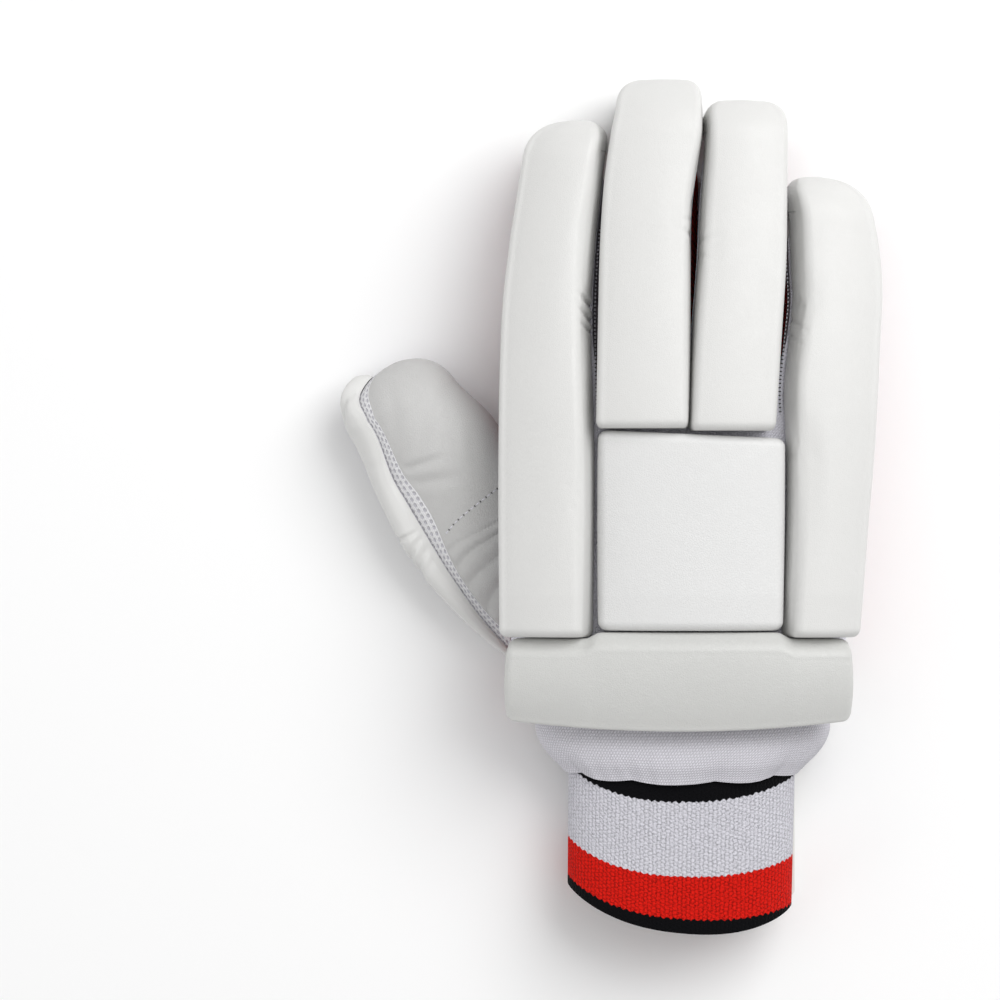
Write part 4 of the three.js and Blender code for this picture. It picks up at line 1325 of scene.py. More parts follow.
def stall_line(f, level, y):
    """Centre and half width of a stall at a level from 0 at the palm to 1 at the back."""
    centre, half, _ = pad_frame(f, np.maximum(y, f["base"]))
    from_y = 0.7 * f["palm_tip"]
    reference = pad_frame(f, np.array([from_y]))[0]
    follow = np.where(y > from_y, 0.25, 1.0)
    low_centre = f["palm"][0] * HAND_HALF + follow * (centre - reference)
    low_half = f["palm"][1] * STALL_PITCH
    return lerp(low_centre, centre, level), lerp(low_half, half - STRIP_WALL, level)


def stall_edge(f, level, side, y, clear):
    """The wall's place on one side. Below the crotch line two neighbours share the middle between them."""
    y = np.atleast_1d(y)
    centre, half = stall_line(f, level, y)
    x = centre + side * half
    if side == f["side"]:
        past = np.clip((f["base"] - y) / (f["base"] - LONG_END), 0, 1)
        return x - side * f["inward"] * past**2
    other = FINGERS[FINGERS.index(f) + side]
    other_centre, other_half = stall_line(other, level, y)
    crotch = (x + other_centre - side * other_half) / 2 - side * clear
    return lerp(crotch, x, smoothstep(y, CROTCH_LINE, CROTCH_LINE + 14))


def stall_path(f, level, clear, ends):
    """Up one side, round the fingertip in a half superellipse of power 2.4, and down the other side.
    Gives x, y and how far each station has turned round the tip."""
    tip = f["palm_tip"] + level * f["band"]
    start = tip - stall_line(f, level, np.array([f["palm_tip"]]))[1][0]
    legs = []
    for side, end in zip((-1, 1), ends):
        count = int((f["palm_tip"] - 14 - end) / LEG_STEP)
        y = np.linspace(end, start, count)
        legs.append(np.column_stack([stall_edge(f, level, side, y, clear), y, np.zeros(count)]))
    left = legs[0][-1, 0]
    right = legs[1][-1, 0]
    drift = (stall_line(f, level, np.array([tip]))[0] - stall_line(f, level, np.array([start]))[0])[0]
    angle = np.pi * (1 - np.linspace(0, 1, ARC_STEPS + 1)[1:-1])
    rise = np.sin(angle) ** (2 / 2.4)
    x = lerp(left, right, (1 + squared(np.cos(angle), 2.4)) / 2) + drift * rise
    arc = np.column_stack([x, start + (tip - start) * rise, rise])
    return np.vstack([legs[0], arc, legs[1][::-1]])


def wall_ends(f, right_end=LONG_END):
    """Where a stall's two legs end."""
    return (
        LONG_END if f["side"] < 0 else CROTCH_LINE,
        right_end if f["side"] > 0 else CROTCH_LINE,
    )


def strip_grids(f, low, high, ends, levels, relief=None):
    """Outer and inner grid of a strip of a stall's wall, with a mid grid between them. low and high give
    the two levels from a station's foot height, head height, turn and place."""
    clear = STRIP_WALL / 2 + SEAM_GAP / 2
    foot = stall_path(f, 0, clear, ends)
    head = stall_path(f, 1, clear, ends)
    foot_z = palm_z(foot[:, 0], foot[:, 1]) + 2 * BINDING_RADIUS
    head_z = back_z(head[:, 0], head[:, 1]) - LINING - 2 * SEAM_GAP
    station = (foot_z, head_z, foot[:, 2], foot[:, 0], foot[:, 1])
    t = np.linspace(0, 1, levels)[:, None]
    level = lerp(low(*station), high(*station), t)
    middle = xyz(
        lerp(foot[:, 0], head[:, 0], level),
        lerp(foot[:, 1], head[:, 1], level),
        lerp(foot_z, head_z, level),
    )
    ahead = np.concatenate([middle[:, 1:], middle[:, -1:]], axis=1)
    behind = np.concatenate([middle[:, :1], middle[:, :-1]], axis=1)
    d = ahead - behind
    out = unit(xyz(-d[..., 1], d[..., 0], 0.0))
    if relief is not None:
        along = lengths_along(middle[0])
        middle = middle + out * relief(along[None, :], t)[..., None]
    return middle + out * STRIP_WALL / 2, middle - out * STRIP_WALL / 2, middle


TIP_SPLIT = 0.52
THUMB_GATE = {"middle": -14.0, "half": 38.0}


def split_level(foot, head, turn, x, y):
    """Where the tape's lower edge runs: one tape width under the back, and lower round the fingertip."""
    return lerp(1 - TAPE_WIDTH / (head - foot), TIP_SPLIT, turn)


def gusset_top(foot, head, turn, x, y):
    """The gusset's upper edge, a seam's gap under the tape."""
    return split_level(foot, head, turn, x, y) - SEAM_GAP / (head - foot)


def gate_level(foot, head, turn, x, y):
    """The gusset's lower edge, which arches over the opening for the thumb."""
    off = (y - THUMB_GATE["middle"]) / THUMB_GATE["half"]
    arch = np.sqrt(np.maximum(1 - off * off, 0))
    return np.where(x > -0.6 * HAND_HALF, 0, arch * (THUMB_ARCH - foot) / (head - foot))


GATE_END = THUMB_GATE["middle"] + THUMB_GATE["half"] + 3


def binding_ends(f):
    """Where a binding's two ends are: the long sides stop at the thumb's gate and at the slit."""
    return tuple(GATE_END if end == LONG_END else end for end in wall_ends(f, SLIT_START))


def binding_line(f):
    """The flat line of a binding's middle. At a crotch it turns in on a quarter circle and meets its
    neighbour's end."""
    ends = binding_ends(f)
    line = stall_path(f, 0, BINDING_RADIUS + SEAM_GAP, ends)[:, :2]
    radius = BINDING_RADIUS + SEAM_GAP / 2
    turn = np.linspace(0, np.pi / 2, 7)[:, None]
    for side, end in zip((-1, 1), ends):
        if end == CROTCH_LINE:
            line = line[::side]
            foot = line[-1] + (0, radius)
            last = np.flatnonzero(line[:, 1] > foot[1])[-1]
            bend = foot + radius * np.hstack([side * (1 - np.cos(turn)), -np.sin(turn)])
            line = np.vstack([line[: last + 1], bend])[::side]
    return line


def binding_grid(f):
    """A rolled binding: a circle carried along the palm's edge, with a fine roll of unevenness."""
    line = binding_line(f)
    out = sideways(line)
    angle = np.linspace(0, 2 * np.pi, 16, endpoint=False)
    along = lengths_along(line)[:, None]
    radius = BINDING_RADIUS * (1 + 0.03 * np.sin(along * 1.9) * np.cos(angle))
    reach = radius * np.cos(angle)
    z = palm_z(line[:, 0], line[:, 1])[:, None] + BINDING_RADIUS - SEAM_GAP + radius * np.sin(angle)
    x = line[:, :1] + out[:, :1] * reach
    y = line[:, 1:] + out[:, 1:] * reach
    return xyz(x, y, z)


# Palm and back sheets

BAY = {
    "columns": ["x", "y"],
    "rows": [
        [-0.8, -0.86],
        [-0.66, -0.9],
        [-0.55, -0.93],
        [-0.375, -0.885],
        [-0.243, -0.774],
        [-0.165, -0.614],
        [-0.13, -0.44],
        [-0.13, -0.326],
        [-0.157, -0.143],
        [-0.206, 0.055],
        [-0.266, 0.198],
        [-0.354, 0.289],
        [-0.469, 0.355],
        [-0.655, 0.168],
        [-0.815, 0.005],
    ],
}
VENTS = {"columns": ["x", "y"], "rows": [[8.1, -5.7], [18.1, -14.3]]}
SHEET_STEP = 1.35


def bay_line():
    """The edge of the bay that the thumb comes out of."""
    return smooth_line(np.array(BAY["rows"]) * HAND_HALF, SHEET_STEP)


def tongue_lines(level, clear, ends, inward, vee=0.0):
    """The four stalls' outlines in one line, with a dip between neighbours. Its corners are cut, and its
    middle is lower by vee."""
    line = []
    for k, f in enumerate(FINGERS):
        path = pushed(stall_path(f, level, clear, ends(f))[:, :2], inward)
        if k > 0:
            drop = max(-inward, 1)
            dip = CROTCH_LINE - drop
            turn = drop - 0.1
            start, end = line[-1][-1][0], path[0, 0]
            middle = [(start + end) / 2, dip - vee]
            corners = [[start, dip + turn], [start + turn, dip], middle, [end - turn, dip], [end, dip + turn]]
            line.append(corners)
        line.append(path.tolist())
    return np.array([p for part in line for p in part])


def palm_outline():
    """The palm's outline: the bay, the four tongues and the narrowing to the wristband."""
    half = BAND_WIDTH / 2
    edge = BINDING_RADIUS + SEAM_GAP
    tongues = tongue_lines(0, edge, binding_ends, -edge)
    wrist = np.array(
        [
            [BAND_CENTRE + 1.14 * half, -SKIRT_START - 7],
            [BAND_CENTRE + 0.98 * half, -PALM_END],
            [BAND_CENTRE - 0.98 * half, -PALM_END],
            [BAND_CENTRE - 1.14 * half, -SKIRT_START - 4],
            [BAND_CENTRE - 1.27 * half, 8 - SKIRT_START],
        ]
    )
    bay = bay_line()
    closing = resample(np.vstack([tongues[-1], wrist, bay[0]]), SHEET_STEP)
    return np.vstack([bay, tongues, closing[1:-1]])


def palm_creases(x, y):
    """Relief of the palm: waves across the tongues near the finger joints, slanting folds from the heel
    to the fingers, and a slow unevenness."""
    tongue = smoothstep(y, CROTCH_LINE - 8, CROTCH_LINE + 12)
    wander = 2.2 * np.sin(x / 6.0) + 1.6 * ripple(x, y, 11, 18.0)
    narrow = (1 - np.abs(np.sin(np.pi * (y + wander) / 11.0))) ** 3
    joints = (1.5 * narrow + 0.6 * np.sin(2 * np.pi * (y + wander) / 24.0)) * tongue
    hand = 1 - smoothstep(y, CROTCH_LINE - 4, CROTCH_LINE + 6)
    life = fold((y - 14) - 0.35 * (x + 10), 3.4) + fold((y - 31) + 0.18 * (x - 5), 2.8)
    heel = fold((y + 38) + 0.5 * (x - 8), 4.0) + fold((y + 58) - 0.2 * x, 3.0)
    return 0.7 * joints - hand * (life + 0.8 * heel) + 0.35 * ripple(x, y, 7, 22.0)


def palm_lower(depth, outline):
    """The palm's lower surface as a function of place: its height with the creases, which fade out
    towards the outline."""
    fine = resample(np.vstack([outline, outline[:1]]), 2.0)

    def surface(x, y):
        flat = np.column_stack([x, y])
        apart = np.linalg.norm(flat[:, None, :] - fine[None, :, :], axis=2).min(axis=1)
        return palm_z(x, y) + depth * smoothstep(apart, 0.5, 4.5) * palm_creases(x, y)

    return surface


def vent_loop(place):
    """A small circle."""
    angle = np.linspace(0, 2 * np.pi, 20, endpoint=False)
    return np.column_stack([place[0] + VENT_RADIUS * np.cos(angle), place[1] + VENT_RADIUS * np.sin(angle)])


# Thumb

THUMB_ROWS = {
    "columns": ["along", "outX", "outY", "inX", "inY", "bottom", "top", "outFree", "inFree"],
    "rows": [
        [0, -0.108, -0.708, -0.085, -0.154, 0.27, 0.5, 0, 0],
        [0.08, -0.246, -0.862, -0.154, 0.092, 0.19, 0.5, 0, 0],
        [0.18, -0.415, -0.946, -0.231, 0.262, 0.09, 0.5, 0, 0],
        [0.28, -0.615, -0.946, -0.354, 0.346, 0.03, 0.52, 0, 0],
        [0.36, -0.846, -0.854, -0.492, 0.385, 0.012, 0.57, 0, 0],
        [0.44, -1.069, -0.662, -0.646, 0.277, 0.005, 0.68, 0.5, 0],
        [0.52, -1.254, -0.415, -0.785, 0.292, 0, 0.8, 1, 0.3],
        [0.6, -1.422, -0.166, -0.917, 0.305, 0, 0.9, 1, 0.75],
        [0.75, -1.594, 0.095, -1.06, 0.49, 0, 1, 1, 1],
        [0.9, -1.775, 0.405, -1.228, 0.652, 0.01, 0.965, 1, 1],
    ],
}
THUMB_SEAMS = {
    "columns": ["along", "hand", "leather", "trim", "web"],
    "rows": [
        [0, 118, 150, 170, -65],
        [0.36, 118, 150, 170, -45],
        [0.44, 113, 150, 162, -40],
        [0.52, 72, 148, 160, -36],
        [0.6, 28, 133, 153, -33],
        [0.68, -28, 130, 149, -31],
        [0.75, -29, 132, 147, -29],
        [0.9, -24, 125, 134, -25],
        [0.95, -22, 141, 162, -23],
        [1, -20, 165, 178, -21],
    ],
}
THUMB_ROLL = {
    "columns": ["along", "depth"],
    "rows": [
        [0, 0.1],
        [0.05, 0.22],
        [0.12, 0.4],
        [0.23, 0.72],
        [0.37, 0.88],
        [0.62, 0.62],
        [0.8, 0.36],
        [0.88, 0.36],
        [0.94, 0.6],
        [0.98, 0.5],
        [1, 0.12],
    ],
}
PAD_SWELL = {
    "columns": ["across", "depth"],
    "rows": [[0, 0.35], [0.12, 0.85], [0.3, 1], [0.6, 0.62], [0.85, 0.3], [1, 0.08]],
}
THUMB_SIDE = 0.48
SEAM_DROP = 2.0
DOME_START = 0.9
DOME_REACH = (-1.554, 0.752)
DOME_TURN = 89.4
DOME_SLOPE = 25.0
THUMB_START = 0.385
THUMB_PAD_END = 0.97
WEB_END = 0.6


def thumb_point(along, angle):
    """A point of the thumb's skin: on a section from an outer to an inner point it rises or falls by the
    sine's size, and past the dome's start every section shrinks onto the dome's point. The outer side
    closes as a quarter circle, and the inner side as the last part of one, so that it stays slanted."""
    s = np.minimum(along, DOME_START)
    row = lambda column: read(THUMB_ROWS, column, s)
    past = np.maximum(along - DOME_START, 0) / (1 - DOME_START)
    slope, last = np.radians(DOME_SLOPE), np.radians(DOME_TURN)
    outer_turn = last * past
    inner_turn = lerp(slope, last, past)
    out_x, out_y = row("outX") * HAND_HALF, row("outY") * HAND_HALF
    in_x, in_y = row("inX") * HAND_HALF, row("inY") * HAND_HALF
    middle_x, middle_y = (out_x + in_x) / 2, (out_y + in_y) / 2
    side_height = THUMB_SIDE * THUMB_HEIGHT
    out_z = lerp(palm_z(out_x, out_y) - SEAM_DROP, side_height, row("outFree"))
    in_z = lerp(palm_z(in_x, in_y) - SEAM_DROP, side_height, row("inFree"))
    c = np.cos(angle)
    up = np.sin(angle)
    side = lerp(out_z, in_z, (1 + c) / 2)
    reach = np.where(up > 0, row("top"), row("bottom")) * THUMB_HEIGHT - side
    inner = (1 + c) / 2
    shrink = lerp(np.cos(outer_turn), np.cos(inner_turn) / np.cos(slope), inner)
    rise = lerp(np.sin(outer_turn), (np.sin(inner_turn) - np.sin(slope)) / (1 - np.sin(slope)), inner)
    x = middle_x + (in_x - out_x) / 2 * c * shrink + (DOME_REACH[0] * HAND_HALF - middle_x) * rise
    y = middle_y + (in_y - out_y) / 2 * c * shrink + (DOME_REACH[1] * HAND_HALF - middle_y) * rise
    return xyz(x, y, side + reach * np.abs(up) * shrink)


def seam(column, by=0.0):
    """A seam's angle along the thumb, in degrees, moved round by some degrees."""
    return lambda s: read(THUMB_SEAMS, column, s) + by


def steady(angle):
    """A seam at one angle all along the thumb."""
    return lambda s: np.full_like(s, angle)


def thumb_grids(start, end, rows, columns, low, high, outside, inside_by, relief=None):
    """Outer and inner grid of a piece of the thumb between two seams: the skin moved along its normal."""
    s = np.linspace(start, end, rows)[:, None]
    t = np.linspace(0, 1, columns)[None, :]
    place = lambda u, v: thumb_point(u, np.radians(lerp(low(u), high(u), v)))
    step = 0.002
    along = place(np.minimum(s + step, end), t) - place(np.maximum(s - step, start), t)
    across = place(s, np.minimum(t + step, 1)) - place(s, np.maximum(t - step, 0))
    normal = unit(np.cross(along, across))
    skin = place(s, t)
    lift = 0.0 if relief is None else relief(s, t, skin)
    u = (s - start) / (end - start)
    depth = outside(u, t) if callable(outside) else outside
    outer = skin + normal * np.broadcast_to(depth + lift, (rows, columns))[..., None]
    inner = skin + normal * np.broadcast_to(inside_by + lift, (rows, columns))[..., None]
    return outer, inner, skin


THUMB_PLEATS = {
    "columns": ["along", "slant", "width", "depth"],
    "rows": [
        [0.295, -0.05, 1.2, 0.7],
        [0.325, -0.09, 1.4, 2.0],
        [0.358, -0.1, 1.3, 1.7],
        [0.385, 0.05, 1.2, 1.1],
        [0.955, -0.14, 1.5, 1.7],
        [0.7, 0.08, 2.4, 0.3],
    ],
}
THUMB_LENGTH = 105.0


def thumb_pad_depth(u, v):
    """Depth of the padded roll: a profile along it times a swell across it, less the pleats that start at
    its seam."""
    swell = read(THUMB_ROLL, "depth", u) * read(PAD_SWELL, "depth", v)
    depth = SEAM_GAP + 0.4 + THUMB_PAD * swell
    fade = 1 - smoothstep(v, 0.3, 0.75)
    for along, slant, width, most in THUMB_PLEATS["rows"]:
        depth = depth - most * fade * fold((u - along - slant * v) * THUMB_LENGTH, width)
    return depth


THUMB_CREASES = {
    "columns": ["x", "y", "end_x", "end_y", "width", "depth"],
    "rows": [
        [-100.0, 11.0, -84.0, 16.5, 1.8, 1.2],
        [-97.5, 6.5, -77.0, 10.0, 2.4, 0.9],
        [-99.5, 20.0, -103.0, 44.0, 2.6, 0.5],
        [-83.0, 36.0, -81.0, 8.0, 2.6, 0.55],
        [-90.0, 30.0, -93.0, 16.0, 2.2, 0.35],
        [-76.0, 30.0, -73.0, 12.0, 3.0, 0.4],
    ],
}
THUMB_FAN = (-50.0, 4.0)


def crease_at(x, y, start_x, start_y, end_x, end_y, width, depth):
    """A soft fold on the segment between two points, which fades to nothing at both ends."""
    dx, dy = end_x - start_x, end_y - start_y
    t = np.clip(((x - start_x) * dx + (y - start_y) * dy) / (dx * dx + dy * dy), 0, 1)
    apart = np.hypot(x - start_x - t * dx, y - start_y - t * dy)
    return -depth * 4 * t * (1 - t) * fold(apart, width)


def thumb_folds(s, t, skin):
    """Folds of the thumb's leather. A fan of them runs down from under the index pad to the root's seam:
    a sine of the angle round the fan's middle. Above it lie single soft folds."""
    x, y = skin[..., 0], skin[..., 1]
    turn = np.degrees(np.arctan2(THUMB_FAN[1] - y, THUMB_FAN[0] - x))
    fan = np.abs(np.sin(np.radians((turn + 4.0 * ripple(x, y, 4, 20.0)) * 180 / 10.5)))
    below = smoothstep(turn, 24.0, 34.0)
    edge = smoothstep(t, 0.0, 0.06) * (1 - smoothstep(t, 0.95, 1.0)) * smoothstep(s, 0.385, 0.42)
    single = sum(crease_at(x, y, *row) for row in THUMB_CREASES["rows"])
    return edge * (1.1 * below * (fan - 0.5) + single + 0.35 * ripple(x, y, 3, 24.0))


# Cuff


def band_point(angle, along, inset):
    """A point of the wristband: a rounded box's loop that narrows, drifts and sags along the band."""
    half = BAND_WIDTH / 2 - BAND_NARROWING * (0.6 + along) - inset
    power = np.where(np.sin(angle) > 0, 2.3, 3.0)
    middle = (BAND_TOP + BAND_BOTTOM) / 2
    rise = (BAND_TOP - BAND_BOTTOM) / 2 - inset
    sag = lerp(*BAND_SAG, along) * np.abs(np.sin(angle)) ** 1.6
    across = squared(np.cos(angle), power)
    z = middle + rise * squared(np.sin(angle), power)
    y = -lerp(BAND_START, BAND_END, along) - sag - BAND_TILT * along**2 * across
    return xyz(BAND_CENTRE - BAND_DRIFT * (0.3 + along) + half * across, y, z)


def stripe_rise(angle, along):
    """How far the stripes climb at the band's two sides, in places of its cloth: more at its start and on
    the thumb's side."""
    side = 1 - np.abs(np.sin(angle)) ** 1.6
    return side * (STRIPE_RISE - STRIPE_FALL * along - STRIPE_SLANT * np.cos(angle))


def band_angles(count):
    """Angles whose points lie at even steps round the band, starting under the wrist."""
    fine = np.linspace(-0.5 * np.pi, 1.5 * np.pi, 1441)
    along = lengths_along(band_point(fine, 0.5, 0.0))
    at = np.linspace(0, along[-1], count, endpoint=False)
    return np.interp(at, along, fine)


SKIRT_ROWS = {
    "columns": ["along", "reach", "half", "top"],
    "rows": [
        [0, 0, 49.4, -1.3],
        [0.25, 5.7, 50.4, 0.4],
        [0.5, 10.7, 48.8, 2.4],
        [0.75, 15.0, 45.6, 2.3],
        [0.92, 18.4, 42.0, 0.6],
        [1, 19.9, 40.6, 0],
    ],
}
SKIRT_TURN = (-27.0, 207.0)
SKIRT_SCALLOPS = 3.34
SKIRT_CUSP = 1.2


def skirt_grid(inset, gather, rows=56, columns=260):
    """The skirt: a loop that swells out under the bar and draws in onto the wristband. Gathers add waves
    that grow towards its rim, and its rim hangs in scallops."""
    t = np.linspace(0, 1, rows)[:, None]
    turn = np.linspace(0, 1, columns)[None, :]
    angle = np.radians(lerp(*SKIRT_TURN, turn))
    rim_top = BAND_TOP + SEAM_GAP + SKIRT_WALL + 0.4
    middle = (BAND_TOP + BAND_BOTTOM) / 2
    waves = np.sin(2 * np.pi * (9 * turn + 0.35 * np.sin(9 * turn)))
    finer = np.sin(2 * np.pi * (31 * turn + 0.5 * np.sin(14 * turn)))
    lobes = np.abs(np.sin(2 * np.pi * SKIRT_SCALLOPS * turn))
    grow = smoothstep(t, 0.3, 1.0)
    bump = gather * grow * (0.3 * waves + 0.2 * finer + 0.9 * (lobes - 0.7))
    half = read(SKIRT_ROWS, "half", t) + bump - inset
    over = np.sin(angle) > 0
    top = rim_top + read(SKIRT_ROWS, "top", t) - middle
    rise = np.where(over, top, middle - BAND_BOTTOM + 2) + bump - inset
    sag = BAND_SAG[0] * t * np.maximum(np.sin(angle), 0) ** 1.6
    power = np.where(over, 2.3, 3.0)
    scallop = SKIRT_CUSP * t**3 * (lobes - 0.6)
    x = BAND_CENTRE + half * squared(np.cos(angle), power)
    y = -SKIRT_START - read(SKIRT_ROWS, "reach", t) - sag - scallop
    return xyz(x, y, middle + rise * squared(np.sin(angle), power))


STRAP_TURN = 13.0
STRAP_TAPER = 8.0


def strap_line(t):
    """The strap's middle line: flat on the floor, then up the band's side on a quarter turn."""
    flat = BAND_CENTRE + BAND_WIDTH / 2 + STRAP_FREE_END - STRAP_TURN
    s = t * (flat + 0.7 * STRAP_TURN * math.pi / 2)
    angle = np.maximum(s - flat, 0) / STRAP_TURN
    x = -STRAP_FREE_END + np.minimum(s, flat) + (STRAP_TURN + 0.8) * np.sin(angle)
    z = STRAP_WALL / 2 + STRAP_TURN * (1 - np.cos(angle))
    return x, z, -np.sin(angle), np.cos(angle)


def strap_grid(side, rows=90, columns=56):
    """One face of the strap. Its free end has round corners, and its edges are thinned by a soft bevel."""
    t = np.linspace(0, 1, rows) ** 1.15
    x, z, nx, nz = (part[:, None] for part in strap_line(t))
    length = BAND_CENTRE + BAND_WIDTH / 2 + STRAP_FREE_END
    off = round_off(t * length, STRAP_CORNER, 2)[:, None]
    v = np.linspace(0, 1, columns)[None, :]
    far = STRAP_TAPER * smoothstep(t, 0.72, 1.0)[:, None]
    y = lerp(-STRAP_TOP - off, -STRAP_BOTTOM + off + far, v)
    inset = np.minimum(np.minimum(v, 1 - v) * (STRAP_BOTTOM - STRAP_TOP), (t * length)[:, None])
    wall = STRAP_WALL / 2 - 0.55 * round_off(inset, 1.6, 2)
    return xyz(x + nx * side * wall, y, z + nz * side * wall)


EDGING_PATH = {
    "columns": ["x", "y", "z"],
    "rows": [
        [43.1, -80, 5.6],
        [46.8, -72, 6.4],
        [49.9, -62, 9],
        [51.4, -56.6, 13],
        [51.4, -59, 17.3],
        [50.6, -66, 19.2],
    ],
}


def tube_grid(line, radius, sides=20):
    """A circle carried along a line, on a frame turned as little as the line allows."""
    ahead = unit(np.gradient(line, axis=0))
    side = np.zeros_like(line)
    side[0] = unit(np.cross(ahead[0], (0.0, 0.0, 1.0)))
    for k in range(1, len(line)):
        side[k] = unit(side[k - 1] - ahead[k] * np.dot(side[k - 1], ahead[k]))
    up = np.cross(ahead, side)
    angle = np.linspace(0, 2 * np.pi, sides, endpoint=False)
    ring = np.cos(angle)[None, :, None] * side[:, None, :] + np.sin(angle)[None, :, None] * up[:, None, :]
    return line[:, None, :] + radius * ring


# Operators


class GloveOperator:
    """What the glove's operators share"""

    bl_options = {"REGISTER", "UNDO"}

    def execute(self, context):
        """Builds the pieces with the scene's sizes and colours."""
        self.build(context.scene.glove_shape, context.scene.glove_colours)
        return {"FINISHED"}


class GLOVE_OT_finger_pads(GloveOperator, Operator):
    """Add the four padded rolls over the fingers"""

    bl_idname = "mesh.glove_finger_pads"
    bl_label = "Finger Pads"

    def build(self, shape, colours):
        finish = leather_of("pad_leather", colours.pad)
        for f in FINGERS:
            name = f["name"] + "_pad"
            grid = pad_wrinkles(finger_pad_grid(f), f["name"])
            fit(add_pad(name + "_cover", grid, finish, shape), "pad_leather", name)


class GLOVE_OT_back_pads(GloveOperator, Operator):
    """Add the square pad over the back of the hand and the bar across the cuff"""

    bl_idname = "mesh.glove_back_pads"
    bl_label = "Back Pads"

    def build(self, shape, colours):
        square = leather_of("square_leather", colours.square)
        # The bar's darker colour is painted shade for its tilted face.
        bar = leather_of("bar_leather", colours.bar)
        fit(add_pad("square_pad_cover", square_pad_grid(), square, shape), "pad_leather", "back_pad")
        fit(add_pad("cuff_bar_cover", cuff_bar_grid(), bar, shape), "pad_leather", "cuff_bar")


GUSSET_ROWS = 12
TAPE_ROWS = 9


class GLOVE_OT_stall_walls(GloveOperator, Operator):
    """Add the mesh gussets, the striped tapes and the rolled bindings of the finger stalls"""

    bl_idname = "mesh.glove_stall_walls"
    bl_label = "Stall Walls"

    def build(self, shape, colours):
        # The red mesh's holes are painted near black: painted shade.
        mesh = mesh_of("red_mesh", colours.red, shade(colours.red, 0.12))
        elastic = material("striped_tape", striped_tape, colours.cloth, colours.black, TAPE_WIDTH, 0.7)
        trim = material("binding_cloth", twill, colours.cloth)
        whole = lambda *station: np.ones_like(station[0])
        slack = lambda along, t: 0.16 * np.sin(np.pi * t) * np.sin(along / 2.7)
        for f in FINGERS:
            name = f["name"]
            wall, tape, roll = name + "_mesh_wall", name + "_elastic", name + "_binding_roll"
            grids = strip_grids(f, gate_level, gusset_top, wall_ends(f, SLIT_START), GUSSET_ROWS, slack)
            add_wall(wall, grids, mesh, "red_mesh", name + "_gusset")
            grids = strip_grids(f, split_level, whole, wall_ends(f), TAPE_ROWS)
            add_wall(tape, grids, elastic, "striped_tape", name + "_tape")
            skin = loft_skin(binding_grid(f))
            fit(place_piece(roll, skin, trim), "binding_cloth", name + "_binding")


LINING_REACH = 1.3
LINING_STEP = 2.4


class GLOVE_OT_sheets(GloveOperator, Operator):
    """Add the leather palm and the lining of the back"""

    bl_idname = "mesh.glove_sheets"
    bl_label = "Palm and Lining"

    def build(self, shape, colours):
        outline = palm_outline()
        lower = palm_lower(shape.crease_depth * MILLIMETRES, outline)
        upper = lambda x, y: lower(x, y) + LEATHER
        hide = material("palm_leather", creased_leather, colours.palm, 0.55, 0.00007)
        skin = sheet_skin(outline, [vent_loop(place) for place in VENTS["rows"]], SHEET_STEP, lower, upper)
        piece = fit(place_piece("palm_hide", skin, hide), "palm_leather", "palm_leather")
        self.declare(piece, outline, ["strap_face"])
        back = tongue_lines(1, LINING_REACH + SEAM_GAP, wall_ends, LINING_REACH)
        back = np.vstack([back, resample(np.vstack([back[-1], back[0]]), SHEET_STEP)[1:-1]])
        lining = material("back_lining", woven, shade(colours.cloth, 1.08), shade(colours.cloth, 1.3), 45.0)
        low = lambda x, y: back_z(x, y) - LINING - SEAM_GAP
        high = lambda x, y: back_z(x, y) - SEAM_GAP
        skin = sheet_skin(back, [], LINING_STEP, low, high)
        piece = fit(place_piece("back_lining", skin, lining), "woven_lining", "back_panel")
        self.declare(piece, back, ["index_elastic", "little_elastic"])

    def declare(self, piece, outline, rests_on):
        """Does nothing with a cut sheet: its piece, outline and what it rests on are not used."""


class GLOVE_OT_thumb(GloveOperator, Operator):
    """Add the thumb's leather, mesh, trim and web, and the padded roll along its outer side"""

    bl_idname = "mesh.glove_thumb"
    bl_label = "Thumb"

    def build(self, shape, colours):
        depth = shape.crease_depth * MILLIMETRES
        hide = leather_of("thumb_leather", colours.thumb)
        # The white mesh's and the trim's holes are painted grey: painted shade.
        mesh = mesh_of("white_mesh", shade(colours.cloth, 1.12), shade(colours.cloth, 0.5))
        trim = mesh_of("trim_mesh", shade(colours.cloth, 1.32), shade(colours.cloth, 0.86))
        web = leather_of("web_leather", colours.palm)
        folds = lambda s, t, skin: depth * thumb_folds(s, t, skin)
        under = lambda s: lerp(180.0, seam("trim", 0.3)(s), smoothstep(s, 0.3, THUMB_START))

        def add(name, node, slot, finish, grid, low, high, relief=None):
            """Adds one thin piece of the thumb between two seams."""
            grids = thumb_grids(*grid, low, high, 0.0, -THUMB_WALL, relief)
            add_wall(name, grids, finish, slot, node)

        grid = (0, 1, 170, 70)
        add("thumb_mesh_wall", "thumb_mesh", "white_mesh", mesh, grid, under, seam("web", 359.7))
        grid = (THUMB_START, 1, 200, 100)
        sides = seam("hand"), seam("leather", -0.1)
        add("thumb_hide", "thumb_leather", "thumb_leather", hide, grid, *sides, folds)
        grid = (THUMB_START, 1, 160, 10)
        sides = seam("leather", 0.1), seam("trim")
        add("thumb_trim_strip", "thumb_trim", "binding_cloth", trim, grid, *sides)
        grid = (0, WEB_END, 90, 16)
        sides = seam("web", 0.3), steady(-1.0)
        add("thumb_web_hide", "thumb_web", "thumb_leather", web, grid, *sides)
        pad = leather_of("thumb_pad_leather", shade(colours.pad, 0.97))
        grid = (THUMB_START, THUMB_PAD_END, 260, 48)
        sides = seam("trim", 0.4), steady(200.0)
        outer, inner, _ = thumb_grids(*grid, *sides, thumb_pad_depth, SEAM_GAP)
        piece = fit(place_piece("thumb_roll_cover", wall_skin(outer, inner), pad), "pad_leather", "thumb_pad")


